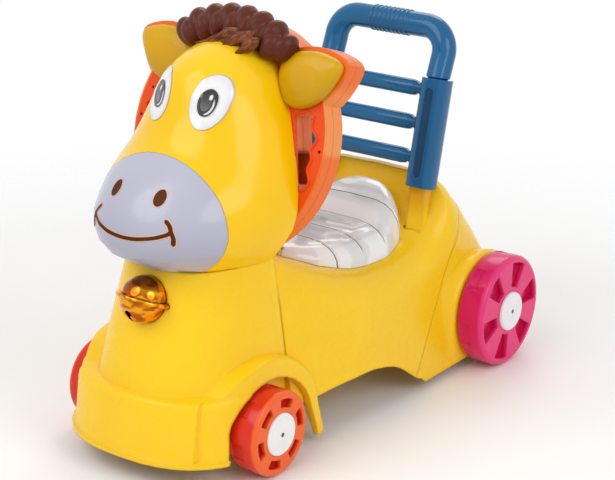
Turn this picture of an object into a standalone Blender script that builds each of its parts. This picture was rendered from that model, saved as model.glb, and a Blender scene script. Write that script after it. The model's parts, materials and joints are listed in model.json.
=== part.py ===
"""Horse-headed ride-on and baby walker, built as separate mouldings, shafts and wheels.

Metres, +Z up, floor at z = 0. The horse looks along -Y and X = 0 is its symmetry plane.
Everything hangs from one empty whose y = 0 is the front axle, and the head's pieces hang
from a second empty, whose local XZ plane is the front face of the round head disc.
"""

import math

import bmesh
import bpy
from mathutils import Vector

# Clearances
GAP = 0.0003
MERGE_STEP = 0.0005
RUNNING_GAP = 0.0001
SHELL_GAP = 0.0004
FASTENER_GAP = 0.0004

# Wheels and axles
FRONT_WHEEL_RADIUS = 0.0425
REAR_WHEEL_RADIUS = 0.061
FRONT_WHEEL_WIDTH = 0.031
REAR_WHEEL_WIDTH = 0.030
FRONT_WHEEL_FACE = 0.1185
REAR_WHEEL_FACE = 0.156
WHEELBASE = 0.360
AXLE_RADIUS = 0.003
HUB_RADIUS = 0.0215
WHEEL_WEB = 0.016
POCKET_DEPTH = 0.008
POCKETS = 6
FRONT_POCKET = (0.0083, 0.0100)
REAR_POCKET = (0.0062, 0.0145)
POCKET_CORNER = 0.0022
POCKET_TURN = -0.30
CAP_DEPTH = 0.009
NUT_RADIUS = 0.0065
NUT_LENGTH = 0.003

# Shells
WALL = 0.003
SKIRT_HEIGHT = 0.024
BUMPER_REACH = 0.100
BUMPER_TOP = 0.0865
BUMPER_HALF_WIDTH = 0.075
BUMPER_STEP = 0.004
LIP_PROUD = 0.0025
LIP_HEIGHT = 0.005
ARCH_MIDDLE = 0.009
ARCH_GAP = 0.0155
ARCH_RISE_GAP = 0.0045
ARCH_FLARE = 0.010
FENDER_BAND = 0.020
FENDER_SETBACK = 0.0105
FENDER_ROUNDING = 0.022
FENDER_FOOT = 0.010
FENDER_LEAN = 0.15
WELL_SIDE_GAP = 0.0035
NECK_TOP = 0.198
NECK_TOP_HALF = 0.071
NECK_TOP_FRONT = -0.042
NECK_BASE_HALF = 0.086
NECK_BASE_FRONT = -0.080
NECK_BACK = 0.052

# Seat tub and tail
SEAT_HEIGHT = 0.145
SADDLE_LOW = 0.230
FRONT_STEP = 0.005
BACK_RISE = 0.063
BACK_TOP = 0.329
BACK_THICKNESS = 0.009
RIM_HALF = 0.101
TUB_SIDE_GAP = 0.003
TUB_BOTTOM = 0.0095
BELLY_HEIGHT = 0.050
TAIL_END = 0.412
SEAM_BEHIND_BACK = 0.0235
SEAM_TOP_HEIGHT = 0.164
SEAM_FOOT = (0.236, 0.026)
GUARD_GAP = 0.004
GUARD_FLARE = 0.034
GUARD_PROUD = 0.0008
GUARD_SINK = 0.008
GUARD_BACK = 0.95
BOSS_RADIUS = 0.008

# Seat lid, its hinge and the storage well
SEAT_HALF = 0.0775
SEAT_FRONT = 0.106
SEAT_BEFORE_BACK = 0.014
SEAT_CROWN = 0.031
SEAT_REAR_CROWN = 0.030
SEAT_HOLLOW = 0.019
SEAT_GROOVES = 4
GROOVE_FIRST = 0.0536
GROOVE_PITCH = 0.04076
GROOVE_DEPTH = 0.0014
GROOVE_WIDTH = 0.0034
WELL_HALF = 0.050
WELL_FRONT = 0.140
WELL_BACK = 0.290
WELL_FLOOR = 0.078
HINGE_RADIUS = 0.005
HINGE_PIN_RADIUS = 0.002
HINGE_HALF = 0.026
HINGE_EAR = 0.007

# Head: disc, face, muzzle
DISC_CENTRE = (0.0, 0.0708, 0.3012)
DISC_TILT = 0.31
DISC_RADIUS = 0.1165
DISC_DEPTH = 0.027
DISC_SEAM = 0.012
MUZZLE_PLANE = -0.026
FACE_TOP = 0.097
FACE_BOTTOM = -0.138
EYE_X = 0.0293
EYE_HEIGHT = 0.030
EYE_HALF_WIDTH = 0.0165
EYE_HALF_HEIGHT = 0.0275
EYE_LEAN = 0.16
EYE_THICKNESS = 0.0012
PUPIL_HALF_WIDTH = 0.0095
PUPIL_HALF_HEIGHT = 0.0135
EAR_THICKNESS = 0.013
EAR_MIDDLE = (0.086, 0.068)
LOBE_MARGIN = 0.0045
SLOT_LIP = 0.002
SLOT_LIP_PROUD = 0.0015
MANE_RADIUS = 0.109
MANE_CURLS = 8
MANE_SPAN = 1.14
CURL_RADIUS = 0.0155
FORELOCKS = 4
FORELOCK_X = 0.011
FORELOCK_PITCH = 0.012
FORELOCK_RADIUS = 0.0078

# Bell
BELL_CENTRE = (0.0, -0.057, 0.171)
BELL_RADIUS = 0.023
BELL_PITCH = -0.37
BELL_ROLL = 0.073
BELL_WALL = 0.002
BELL_BAND_RADIUS = 0.0025
BELL_BALL_RADIUS = 0.0055
BELL_SLOT = 0.0036
BELL_SLOT_END = 0.0032
BELL_SLOT_TURN = 0.73

# Handle
HANDLE_HALF = 0.0695
HANDLE_BEFORE_BACK = 0.018
HANDLE_SINK = 0.010
HANDLE_LEAN = 0.25
HANDLE_TUBE = 0.013
HANDLE_TUBE_FOOT = 0.0105
HOOP_SHOULDER = 0.0016
HANDLE_SWEEP = 0.004
HANDLE_HEIGHT = 0.1695
HANDLE_CORNER = 0.026
SLEEVE_LENGTH = 0.116
SLEEVE_WIDTH = 0.030
SLEEVE_DEPTH = 0.027
SOCKET_DEPTH = 0.022
PEG_SIDE = 0.018
PEG_LENGTH = 0.046
RECESS_HALF = 0.0048
RECESS_END = 0.010
RECESS_DEPTH = 0.0012
RUNGS = 3
RUNG_RADIUS = 0.0085
RUNG_FIRST = 0.030
RUNG_PITCH = 0.0365
RUNG_GRIP = 0.004
GRIP_RIBS = 9
GRIP_PITCH = 0.0055
GRIP_HEIGHT = 0.0012

# Rider's music panel
PANEL_RADIUS = 0.052
PANEL_DEPTH = 0.004
PANEL_HEIGHT = 0.010
BUTTONS = 3
BUTTON_RADIUS = 0.009
BUTTON_TRAVEL = 0.0025
BUTTON_PROUD = 0.005
BUTTON_CIRCLE = 0.034
BUTTON_FLANGE = 0.0012
PLUNGER_RADIUS = 0.003
BOARD_HALF = (0.044, 0.016)
BOARD_HEIGHT = -0.020
BOARD_DEPTH = 0.0104
BOARD_THICKNESS = 0.0016
BOARD_POST_RADIUS = 0.004
BOARD_POST_X = 0.036
SPEAKER_RADIUS = 0.018
SPEAKER_DEPTH = 0.008
BATTERY_HALF = (0.032, 0.0175)
BATTERY_HEIGHT = -0.070
SWITCH_HEIGHT = 0.078
SWITCH_HALF = (0.004, 0.0025)
SWITCH_TRAVEL = 0.003

# Post between the head and the neck
MOUNT_RISE = 0.024
MOUNT_HALF = (0.022, 0.006)
MOUNT_Y = 0.0395
MOUNT_FLANGE = (0.010, 0.012, 0.002)

# Worked out from the sizes above
MOUNT_TOP = NECK_TOP + MOUNT_RISE
FRONT_RISE = NECK_TOP + FRONT_STEP - SEAT_HEIGHT
SEAM_TOP = (BACK_TOP + SEAM_BEHIND_BACK, SEAM_TOP_HEIGHT)
SEAT_BACK = BACK_TOP - SEAT_BEFORE_BACK
HANDLE_FOOT = (BACK_TOP - HANDLE_BEFORE_BACK, SEAT_HEIGHT + BACK_RISE - HANDLE_SINK)
FRONT_AXLE_Y = -(WHEELBASE + (REAR_WHEEL_RADIUS + GUARD_GAP) * GUARD_BACK - BUMPER_REACH) / 2
WELL_WALL_X = FRONT_WHEEL_FACE - FRONT_WHEEL_WIDTH - WELL_SIDE_GAP
FENDER_FACE = FRONT_WHEEL_FACE - FENDER_SETBACK
TUB_HALF = REAR_WHEEL_FACE - REAR_WHEEL_WIDTH - TUB_SIDE_GAP
TUB_FRONT = NECK_BACK + 0.0013
SEAT_MIDDLE = (SEAT_FRONT + SEAT_BACK) / 2
HINGE_Y = SEAT_FRONT + HINGE_RADIUS - 0.002
ROUND_STEPS = 24
PLAN_POINTS = 18
ARCH_POINTS = 14
SECTION_POINTS = 14
HIDDEN_POINTS = 10

PARTS = bpy.data.collections.new("Horse baby walker")
CUTTERS = bpy.data.collections.new("Cutters")


def clear_scene():
    for obj in list(bpy.data.objects):
        bpy.data.objects.remove(obj, do_unlink=True)
    for collection in (PARTS, CUTTERS):
        bpy.context.scene.collection.children.link(collection)


def plastic(name, colour, roughness=0.35, metallic=0.0, alpha=1.0):
    """A Principled material of one colour."""
    material = bpy.data.materials.new(name)
    material.use_nodes = True
    shader = material.node_tree.nodes["Principled BSDF"]
    shader.inputs["Base Color"].default_value = (*colour, 1.0)
    shader.inputs["Roughness"].default_value = roughness
    shader.inputs["Metallic"].default_value = metallic
    shader.inputs["Alpha"].default_value = alpha
    material.diffuse_color = (*colour, alpha)
    return material


def add_object(name, mesh, material=None, parent=None, location=(0, 0, 0), rotation=(0, 0, 0)):
    """Links a mesh as a named part, or as a hidden cutter where it has no material."""
    obj = bpy.data.objects.new(name, mesh)
    if material is None:
        CUTTERS.objects.link(obj)
        obj.hide_render = True
        obj.display_type = "WIRE"
    else:
        PARTS.objects.link(obj)
        if not mesh.materials:
            mesh.materials.append(material)
    obj.parent = parent
    obj.location = location
    obj.rotation_euler = rotation
    return obj


def smooth(mesh, angle=35):
    mesh.shade_smooth()
    mesh.set_sharp_from_angle(angle=math.radians(angle))
    return mesh


def finish_mesh(name, bm, angle=35):
    bm.normal_update()
    bmesh.ops.recalc_face_normals(bm, faces=bm.faces)
    mesh = bpy.data.meshes.new(name)
    bm.to_mesh(mesh)
    bm.free()
    return smooth(mesh, angle)


def loft(name, rings, angle=35):
    """A closed solid through rings of points that all have the same count."""
    bm = bmesh.new()
    loops = [[bm.verts.new(point) for point in ring] for ring in rings]
    count = len(loops[0])
    for lower, upper in zip(loops, loops[1:]):
        for i in range(count):
            j = (i + 1) % count
            bm.faces.new((lower[i], lower[j], upper[j], upper[i]))
    bm.faces.new(loops[0][::-1])
    bm.faces.new(loops[-1])
    return finish_mesh(name, bm, angle)


def box_mesh(name, low, high):
    bm = bmesh.new()
    bmesh.ops.create_cube(bm, size=1.0)
    for vert in bm.verts:
        for axis in range(3):
            middle = (low[axis] + high[axis]) / 2
            vert.co[axis] = middle + vert.co[axis] * (high[axis] - low[axis])
    return finish_mesh(name, bm)


def rod_mesh(name, radius, start, end, axis=0, steps=ROUND_STEPS, radius_end=None):
    """A round rod or cone whose axis runs along X, Y or Z through the mesh's origin line."""
    bm = bmesh.new()
    last = radius if radius_end is None else radius_end
    bmesh.ops.create_cone(bm, cap_ends=True, segments=steps, radius1=radius, radius2=last,
                          depth=1.0)
    for vert in bm.verts:
        x, y, z = vert.co
        along = (start + end) / 2 + z * (end - start)
        vert.co = ((along, x, y), (y, along, x), (x, y, along))[axis]
    return finish_mesh(name, bm)


def sphere_mesh(name, radius, columns=20, rows=12, stretch=(1, 1, 1)):
    bm = bmesh.new()
    bmesh.ops.create_uvsphere(bm, u_segments=columns, v_segments=rows, radius=radius)
    for vert in bm.verts:
        vert.co = Vector(co * s for co, s in zip(vert.co, stretch))
    return finish_mesh(name, bm, 60)


def outline_solid(name, points, start, end, axis=1):
    """A flat outline given in the two other axes, filled and carried from start to end."""
    def place(point, along):
        a, b = point
        return ((along, a, b), (a, along, b), (a, b, along))[axis]
    rings = [[place(point, along) for point in points] for along in (start, end)]
    return loft(name, rings)


def boolean(target, other, operation, label=None):
    modifier = target.modifiers.new(label or other.name, "BOOLEAN")
    modifier.operation = operation
    modifier.object = other
    modifier.solver = "EXACT"
    return modifier


def cut(target, other):
    return boolean(target, other, "DIFFERENCE")


def join(target, other):
    return boolean(target, other, "UNION")


def keep_common(target, other):
    return boolean(target, other, "INTERSECT")


def turned(name, profile, steps=ROUND_STEPS):
    """A solid turned about local Z from (radius, height) points, outer side first, top down."""
    bm = bmesh.new()
    verts = [bm.verts.new((radius, 0, height)) for radius, height in profile]
    for a, b in zip(verts, verts[1:] + verts[:1]):
        if (a.co - b.co).length > 0 and not (a.co.x == 0 and b.co.x == 0):
            bm.edges.new((a, b))
    mesh = bpy.data.meshes.new(name)
    bm.to_mesh(mesh)
    bm.free()
    return mesh, steps


def add_screw(obj, steps):
    screw = obj.modifiers.new("turned", "SCREW")
    screw.axis = "Z"
    screw.steps = steps
    screw.render_steps = steps
    screw.use_merge_vertices = True
    screw.merge_threshold = 0.00001
    screw.use_smooth_shade = True
    screw.use_normal_calculate = False
    return screw


def signed_power(value, power):
    return math.copysign(abs(value) ** power, value)


def curve_through(keys, steps):
    """Points of a Catmull-Rom curve through the keys, steps to each stretch."""
    ends = [2 * Vector(keys[0]) - Vector(keys[1])]
    points = ends + [Vector(key) for key in keys] + [2 * Vector(keys[-1]) - Vector(keys[-2])]
    found = []
    for a, b, c, d in zip(points, points[1:], points[2:], points[3:]):
        for i in range(steps):
            t = i / steps
            found.append(0.5 * (2 * b + (c - a) * t + (2 * a - 5 * b + 4 * c - d) * t * t
                                + (3 * b - a - 3 * c + d) * t ** 3))
    found.append(points[-2])
    return found


def closed_curve_through(keys, steps):
    """Points of a closed Catmull-Rom curve through the keys."""
    points = [Vector(key) for key in keys]
    count = len(points)
    found = []
    for i in range(count):
        a, b, c, d = (points[(i + k - 1) % count] for k in range(4))
        for j in range(steps):
            t = j / steps
            found.append(0.5 * (2 * b + (c - a) * t + (2 * a - 5 * b + 4 * c - d) * t * t
                                + (3 * b - a - 3 * c + d) * t ** 3))
    return found


def value_at(curve, where):
    """The second coordinate of a curve of points whose first coordinate only falls."""
    for a, b in zip(curve, curve[1:]):
        if a[0] >= where >= b[0]:
            share = (a[0] - where) / max(a[0] - b[0], 1e-9)
            return a[1] + (b[1] - a[1]) * share
    return curve[-1][1] if where < curve[-1][0] else curve[0][1]


# Front body

def nose_ring(half, front, back, height, power, count=PLAN_POINTS):
    """A plan outline at one height: a straight back and a round nose towards -Y."""
    ring = []
    for i in range(count + 1):
        turn = math.pi * i / count
        x = half * signed_power(math.cos(turn), 2 / power)
        y = -front * signed_power(math.sin(turn), 2 / power)
        ring.append((x, y, height))
    return [(half, back, height)] + ring + [(-half, back, height)]


def detail(inset, shown):
    """Points for an outline: fewer where it only bounds the hidden inside of a shell."""
    return HIDDEN_POINTS if inset > 0 else shown


def neck_rings(inset, bottom):
    rings = []
    top = NECK_TOP - inset
    count = detail(inset, PLAN_POINTS)
    for height in (bottom, BUMPER_TOP, 0.125, 0.162, top):
        share = max(0.0, (height - BUMPER_TOP) / (NECK_TOP - BUMPER_TOP))
        half = NECK_BASE_HALF + (NECK_TOP_HALF - NECK_BASE_HALF) * share - inset
        front = NECK_BASE_FRONT + (NECK_TOP_FRONT - NECK_BASE_FRONT) * share + inset
        power = 2.7 - 0.25 * share
        back = NECK_BACK - inset
        ring = nose_ring(half, back - front, 0, height, power, count)
        rings.append([(x, y + back, z) for x, y, z in ring][1:-1])
    return rings


def skirt_rings(inset, bottom, proud=0.0):
    """The low body round the front: a thin lip at the foot, then drawn in towards the top."""
    low = FENDER_FACE - inset
    reach = BUMPER_REACH - inset
    lip = SKIRT_HEIGHT + LIP_HEIGHT
    step = LIP_PROUD + BUMPER_STEP - proud
    top = BUMPER_TOP - inset
    foot = step if inset else (MERGE_STEP if proud else 0.0)
    levels = [(bottom, foot), (lip, foot), (lip + 0.001, step), (top - 0.007, step + 0.0065),
              (top - 0.0025, step + 0.008), (top - 0.0007, step + 0.0095),
              (top, step + 0.012)]
    if inset > 0:
        levels = [levels[0], levels[1], levels[-1]]
    count = detail(inset, PLAN_POINTS)
    back = NECK_BACK - inset - 8 * MERGE_STEP
    return [nose_ring(low - taper * 0.6, reach - taper, back, height, 2.5, count)
            for height, taper in levels]


def arch_outline(half, rise, foot, flare=0.0, count=ARCH_POINTS):
    """An arch over the front axle, in (y, z), its legs spreading a little to the foot."""
    middle = FRONT_WHEEL_RADIUS
    points = [(ARCH_MIDDLE + half + flare, foot)]
    for i in range(count + 1):
        turn = math.pi * i / count
        points.append((ARCH_MIDDLE + half * math.cos(turn), middle + rise * math.sin(turn)))
    return points + [(ARCH_MIDDLE - half - flare, foot)]


def fender_rings(inset, foot):
    """The wheel arch as a rounded band: narrowest at its face, full where it meets the neck."""
    half = FRONT_WHEEL_RADIUS + ARCH_GAP + FENDER_BAND - inset
    rise = FRONT_WHEEL_RADIUS + ARCH_RISE_GAP + FENDER_BAND - inset
    face = FENDER_FACE - inset
    steps = 4 if inset == 0 else 2
    side = []
    for i in range(steps + 1):
        turn = math.pi / 2 * i / steps
        shrink = (FENDER_BAND - WALL) * (1 - math.sin(turn))
        side.append((face - FENDER_ROUNDING * (1 - math.cos(turn)), shrink))
    rings = []
    for x, shrink in [(-x, s) for x, s in side] + side[::-1]:
        outline = arch_outline(half - shrink, rise - shrink, foot, ARCH_FLARE,
                               detail(inset, ARCH_POINTS))
        rings.append([(x, y, z) for y, z in outline])
    return rings


def well_mesh(name, side, grow):
    """The space of one front wheel, open outwards and downwards."""
    half = FRONT_WHEEL_RADIUS + ARCH_GAP + grow
    rise = FRONT_WHEEL_RADIUS + ARCH_RISE_GAP + grow
    outline = arch_outline(half, rise, -0.02, ARCH_FLARE + 0.003, detail(grow, ARCH_POINTS))
    inner = WELL_WALL_X - grow
    outer = FENDER_FACE + 0.03
    ends = (inner, outer) if side > 0 else (-outer, -inner)
    return outline_solid(name, outline, *ends, axis=0)


def front_volume(name, inset, bottom, material, parent):
    """The front body as a filled volume, smaller by the inset all round."""
    neck = add_object(name, loft(name, neck_rings(inset, bottom + 3 * MERGE_STEP)), material,
                      parent)
    skirt = add_object(name + "_skirt", loft(name + "_skirt", skirt_rings(inset, bottom)),
                       None, parent)
    bumper = add_object(name + "_bumper",
                        loft(name + "_bumper", skirt_rings(inset, bottom + MERGE_STEP,
                                                           BUMPER_STEP)), None, parent)
    half = BUMPER_HALF_WIDTH - inset
    keep_common(bumper, add_object(
        name + "_bumper_width",
        box_mesh(name + "_bumper_width", (-half, -0.2, -0.1), (half, 0.02, 0.2)), None, parent))
    foot = FENDER_FOOT if inset == 0 else bottom + 2 * MERGE_STEP
    fender = add_object(name + "_fender", loft(name + "_fender", fender_rings(inset, foot)),
                        None, parent)
    taper = LIP_PROUD + BUMPER_STEP - 0.0012
    rings = []
    for z in (-0.05, SKIRT_HEIGHT, 0.140):
        lean = FENDER_LEAN * (z - SKIRT_HEIGHT)
        rings.append(nose_ring(FENDER_FACE - inset - lean,
                               BUMPER_REACH - inset - taper - lean * 1.6, 0.12, z, 2.5,
                               detail(inset, PLAN_POINTS)))
    keep_common(fender, add_object(name + "_plan", loft(name + "_plan", rings), None, parent))
    if inset == 0:
        low = box_mesh("front_foot_room", (-0.2, -0.2, -0.1),
                       (0.2, 0.0, SKIRT_HEIGHT + 2 * MERGE_STEP))
        cut(fender, add_object("front_foot_room", low, None, parent))
    for piece in (skirt, bumper, fender):
        join(neck, piece)
    return neck


def make_front_body(walker, yellow):
    body = front_volume("front_body", 0.0, SKIRT_HEIGHT, yellow, walker)
    hollow = front_volume("front_hollow", WALL, -0.02, None, walker)
    for side in (1, -1):
        tag = "left" if side > 0 else "right"
        cut(body, add_object("well_" + tag, well_mesh("well_" + tag, side, 0.0), None, walker))
        cut(hollow, add_object("well_wall_" + tag, well_mesh("well_wall_" + tag, side, WALL),
                               None, walker))
    boss = add_object("front_boss", rod_mesh("front_boss", BOSS_RADIUS, -WELL_WALL_X,
                                             WELL_WALL_X, steps=16), None, walker,
                      (0, 0, FRONT_WHEEL_RADIUS))
    cut(hollow, boss)
    cut(body, hollow)
    bore = add_object("front_bore", rod_mesh("front_bore", AXLE_RADIUS + RUNNING_GAP, -0.15, 0.15,
                                             steps=20), None, walker,
                      (0, 0, FRONT_WHEEL_RADIUS))
    cut(body, bore)
    cut(body, bell_envelope(walker))
    cut(body, mount_hole(walker, "neck_mount_hole", NECK_TOP - 2 * WALL, NECK_TOP + 0.01))
    return body


# Seat tub and tail

def saddle_top(y):
    """Height of the tub's upper line above the floor, along the object."""
    if y < SADDLE_LOW:
        share = (SADDLE_LOW - y) / (SADDLE_LOW - TUB_FRONT)
        return SEAT_HEIGHT + FRONT_RISE * share ** 2
    if y < BACK_TOP:
        share = (y - SADDLE_LOW) / (BACK_TOP - SADDLE_LOW)
        return SEAT_HEIGHT + BACK_RISE * share ** 4.5
    if y < BACK_TOP + BACK_THICKNESS:
        return SEAT_HEIGHT + BACK_RISE
    share = (y - BACK_TOP - BACK_THICKNESS) / (TAIL_END - BACK_TOP - BACK_THICKNESS)
    return SEAT_HEIGHT + BACK_RISE - BACK_RISE * 1.65 * share ** 1.3


def rim_half(y):
    share = min(1.0, max(0.0, (y - TUB_FRONT) / 0.150))
    back = min(1.2, max(0.0, (y - SADDLE_LOW) / (BACK_TOP - SADDLE_LOW)))
    return RIM_HALF * (1 - 0.29 * (1 - share) ** 3) * (1 - 0.07 * back ** 2)


def base_half(y):
    share = min(1.0, max(0.0, (y - TUB_FRONT) / (SADDLE_LOW - TUB_FRONT)))
    return TUB_HALF * (1 - 0.22 * (1 - share) ** 2)


def tub_ring(y, inset, bottom, count):
    """One cross-section of the tub, round-shouldered, in a plane across the object."""
    top = saddle_top(y) - inset
    waist = 0.080
    base = base_half(y) - inset
    rim = rim_half(y) - inset
    power = 5.0

    def half(z):
        return base + (rim - base) * (z - TUB_BOTTOM) / (top - TUB_BOTTOM)
    ring = [(half(bottom), y, bottom)]
    for i in range(count + 1):
        turn = math.pi * i / count
        z = waist + (top - waist) * math.sin(turn) ** (2 / power)
        ring.append((half(z) * signed_power(math.cos(turn), 2 / power), y, z))
    ring.append((-half(bottom), y, bottom))
    return ring


def tub_volume(name, inset, bottom, material, parent):
    front = TUB_FRONT + inset
    back = TAIL_END - inset
    crest = BACK_TOP + BACK_THICKNESS
    shares = ((0.11, 0.26, 0.46, 0.69), (0.32, 0.53, 0.69, 0.79, 0.88, 0.95),
              (0.12, 0.32, 0.57, 0.81))
    if inset > 0:
        shares = ((0.26, 0.69), (0.53, 0.79, 0.95), (0.32,))
    ends = ((TUB_FRONT, SADDLE_LOW), (SADDLE_LOW, BACK_TOP), (crest, TAIL_END))
    stations = [front, SADDLE_LOW, BACK_TOP, crest, back]
    for (start, end), steps in zip(ends, shares):
        stations += [start + (end - start) * step for step in steps]
    stations.sort()
    rings = [tub_ring(y, inset, bottom, detail(inset, SECTION_POINTS)) for y in stations]
    return add_object(name, loft(name, rings), material, parent)


def behind_seam(name, shift, keep_front, parent):
    """The half space in front of or behind the slanting seam."""
    (y1, z1), (y0, z0) = SEAM_TOP, SEAM_FOOT
    slope = (y1 - y0) / (z1 - z0)
    low, high = -0.05, 0.30
    edge = [(y0 + slope * (low - z0) + shift, low), (y0 + slope * (high - z0) + shift, high)]
    far = -0.1 if keep_front else 0.6
    outline = [edge[0], edge[1], (far, high), (far, low)]
    return add_object(name, outline_solid(name, outline, -0.2, 0.2, axis=0), None, parent)


def belly_cutter(name, parent):
    """The raised stretch of the tub's lower edge, between the front wheels and the tail."""
    high = BELLY_HEIGHT
    low = TUB_BOTTOM - 0.0005
    keys = [(0.040, -0.03), (0.055, high - 0.014), (0.080, high - 0.004), (0.120, high),
            (0.165, high), (0.195, high - 0.007), (0.213, high - 0.017), (0.232, low + 0.009),
            (0.247, low), (0.256, -0.03)]
    outline = [tuple(point) for point in curve_through(keys, 2)]
    return add_object(name, outline_solid(name, outline, -0.2, 0.2, axis=0), None, parent)


def make_rear_body(walker, handle, yellow):
    body = tub_volume("rear_body", 0.0, TUB_BOTTOM, yellow, walker)
    hollow = tub_volume("tub_hollow", WALL, -0.02, None, walker)
    well_low = (-WELL_HALF, WELL_FRONT, WELL_FLOOR)
    well_high = (WELL_HALF, WELL_BACK, 0.30)
    well = add_object("storage_well", box_mesh("storage_well", well_low, well_high), None,
                      walker)
    grown_low = tuple(v - WALL for v in well_low)
    grown_high = (WELL_HALF + WALL, WELL_BACK + WALL, 0.30)
    cut(hollow, add_object("storage_well_wall",
                           box_mesh("storage_well_wall", grown_low, grown_high), None, walker))
    cut(hollow, belly_wall(walker))
    cut(body, hollow)
    cut(body, well)
    cut(body, belly_cutter("belly", walker))
    keep_common(body, behind_seam("tub_side_of_seam", -GAP, True, walker))
    for side in (1, -1):
        tag = "left" if side > 0 else "right"
        cut(body, sleeve_envelope(handle, tag, side))
        join(body, peg_cutter(handle, "peg_" + tag, side, 0.0))
    cut(body, hinge_envelope(walker))
    for side in (1, -1):
        tag = "left" if side > 0 else "right"
        join(body, hinge_ear(walker, tag, side))
    cut(body, hinge_bore(walker, "tub_hinge_bore"))
    return body


def belly_wall(parent):
    """Keeps a wall's thickness inside the tub's front, where the front wheels pass."""
    return add_object("tub_front_wall",
                      box_mesh("tub_front_wall", (-0.2, TUB_FRONT - 0.01, -0.05),
                               (0.2, TUB_FRONT + WALL, 0.3)), None, parent)


def guard_volume(name, inset, bottom, parent):
    """The round inner guards beside the rear wheels, flaring out of the tail's sides."""
    radius = REAR_WHEEL_RADIUS + GUARD_GAP - inset
    middle = REAR_WHEEL_RADIUS
    half = TUB_HALF + GUARD_PROUD - inset
    side = [(half, -0.005), (half - 0.0015, -0.002), (half - 0.005, 0.0),
            (half - 0.014, GUARD_FLARE * 0.22), (half - 0.026, GUARD_FLARE * 0.55),
            (half - 0.040, GUARD_FLARE)]
    count = 18
    if inset > 0:
        side = [side[1], side[5]]
        count = 12
    rings = []
    for x, spread in [(-x, s) for x, s in side] + side[::-1]:
        front = radius + spread
        rise = (REAR_WHEEL_RADIUS - inset + min(spread, 0.0)
                - GUARD_SINK * max(spread, 0.0) / GUARD_FLARE)
        ring = [(x, WHEELBASE + radius * GUARD_BACK, bottom)]
        for i in range(count + 1):
            turn = math.pi * i / count
            reach = radius * GUARD_BACK if 2 * i < count else front
            ring.append((x, WHEELBASE + reach * math.cos(turn),
                         middle + rise * math.sin(turn)))
        ring.append((x, WHEELBASE - front, bottom))
        rings.append(ring)
    return add_object(name, loft(name, rings, 50), None, parent)


def make_rear_cover(walker, yellow):
    cover = tub_volume("rear_cover", 0.0, TUB_BOTTOM, yellow, walker)
    join(cover, guard_volume("guard", 0.0, TUB_BOTTOM + GUARD_PROUD, walker))
    hollow = tub_volume("cover_hollow", WALL, -0.02, None, walker)
    join(hollow, guard_volume("guard_hollow", WALL, -0.025, walker))
    boss = add_object("rear_boss", rod_mesh("rear_boss", BOSS_RADIUS, -TUB_HALF, TUB_HALF,
                                            steps=16), None, walker,
                      (0, WHEELBASE, REAR_WHEEL_RADIUS))
    cut(hollow, boss)
    cut(cover, hollow)
    keep_common(cover, behind_seam("cover_side_of_seam", GAP, False, walker))
    cut(cover, belly_cutter("cover_belly", walker))
    bore = add_object("rear_bore", rod_mesh("rear_bore", AXLE_RADIUS + RUNNING_GAP, -0.18, 0.18,
                                            steps=20), None, walker,
                      (0, WHEELBASE, REAR_WHEEL_RADIUS))
    cut(cover, bore)
    return cover


# Seat lid

def seat_stations():
    """Stations along the seat, with three close ones at each groove."""
    length = SEAT_BACK - SEAT_FRONT
    shares = [0.0, 0.008, 0.03, 0.07, 0.14, 0.90, 0.94, 0.965, 0.985, 0.996, 1.0]
    stations = [(SEAT_FRONT + length * share, 0.0) for share in shares]
    for i in range(SEAT_GROOVES):
        y = SEAT_FRONT + GROOVE_FIRST + GROOVE_PITCH * i
        stations += [(y - GROOVE_WIDTH / 2, 0.0), (y, GROOVE_DEPTH), (y + GROOVE_WIDTH / 2, 0.0)]
    return sorted(stations)


def seat_top(y):
    """Height of the lid's crown along the object, rising to the back rest."""
    front = max(0.0, (SADDLE_LOW - y) / (SADDLE_LOW - SEAT_FRONT))
    back = max(0.0, (y - SADDLE_LOW) / (SEAT_BACK - SADDLE_LOW))
    return SEAT_HEIGHT + SEAT_CROWN + 0.009 * front ** 2 + SEAT_REAR_CROWN * back ** 1.6


def seat_ring(y, sink, count=12):
    length = (SEAT_BACK - SEAT_FRONT) / 2
    reach = min(0.9999, abs(y - SEAT_MIDDLE) / length)
    spread = (1 - reach ** 2.5) ** (1 / 2.5)
    half = max(SEAT_HALF * spread - sink, 0.004)
    base = saddle_top(y) - 0.010
    deck = saddle_top(y)
    crown = deck + (seat_top(y) - deck) * (0.35 + 0.65 * spread ** 0.5) - sink
    ring = [(half, y, base)]
    for i in range(count + 1):
        turn = math.pi * i / count
        ring.append((half * signed_power(math.cos(turn), 0.5), y,
                     base + 0.005 + (crown - base - 0.005) * math.sin(turn) ** 0.75))
    ring.append((-half, y, base))
    return ring


def make_seat(walker, pale):
    seat = add_object("seat_lid", loft("seat_lid", [seat_ring(y, sink) for y, sink
                                                    in seat_stations()], 40), pale, walker)
    hollow = box_mesh("seat_hollow", (-WELL_HALF, WELL_FRONT, 0.0),
                      (WELL_HALF, WELL_BACK, SEAT_HEIGHT + SEAT_HOLLOW))
    cut(seat, add_object("seat_hollow", hollow, None, walker))
    deck = tub_volume("seat_bed", -GAP, 0.0, None, walker)
    cut(seat, deck)
    barrel = add_object("hinge_barrel", rod_mesh("hinge_barrel", HINGE_RADIUS, -HINGE_HALF,
                                                 HINGE_HALF, steps=20), None, walker,
                        hinge_place())
    join(seat, barrel)
    for side in (1, -1):
        cut(seat, ear_room(walker, side))
    cut(seat, hinge_bore(walker, "seat_hinge_bore"))
    return seat


def ear_room(parent, side):
    """Space in the lid round one of the tub's hinge lugs."""
    near, far = HINGE_HALF + GAP, HINGE_HALF + HINGE_EAR + GAP * 2
    ends = (near, far) if side > 0 else (-far, -near)
    reach = HINGE_RADIUS + 0.004
    place = hinge_place()
    name = "ear_room_" + ("left" if side > 0 else "right")
    return add_object(name, box_mesh(name, (ends[0], HINGE_Y - reach - 0.01, place[2] - 0.02),
                                     (ends[1], HINGE_Y + reach, place[2] + reach)), None,
                      parent)


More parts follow.
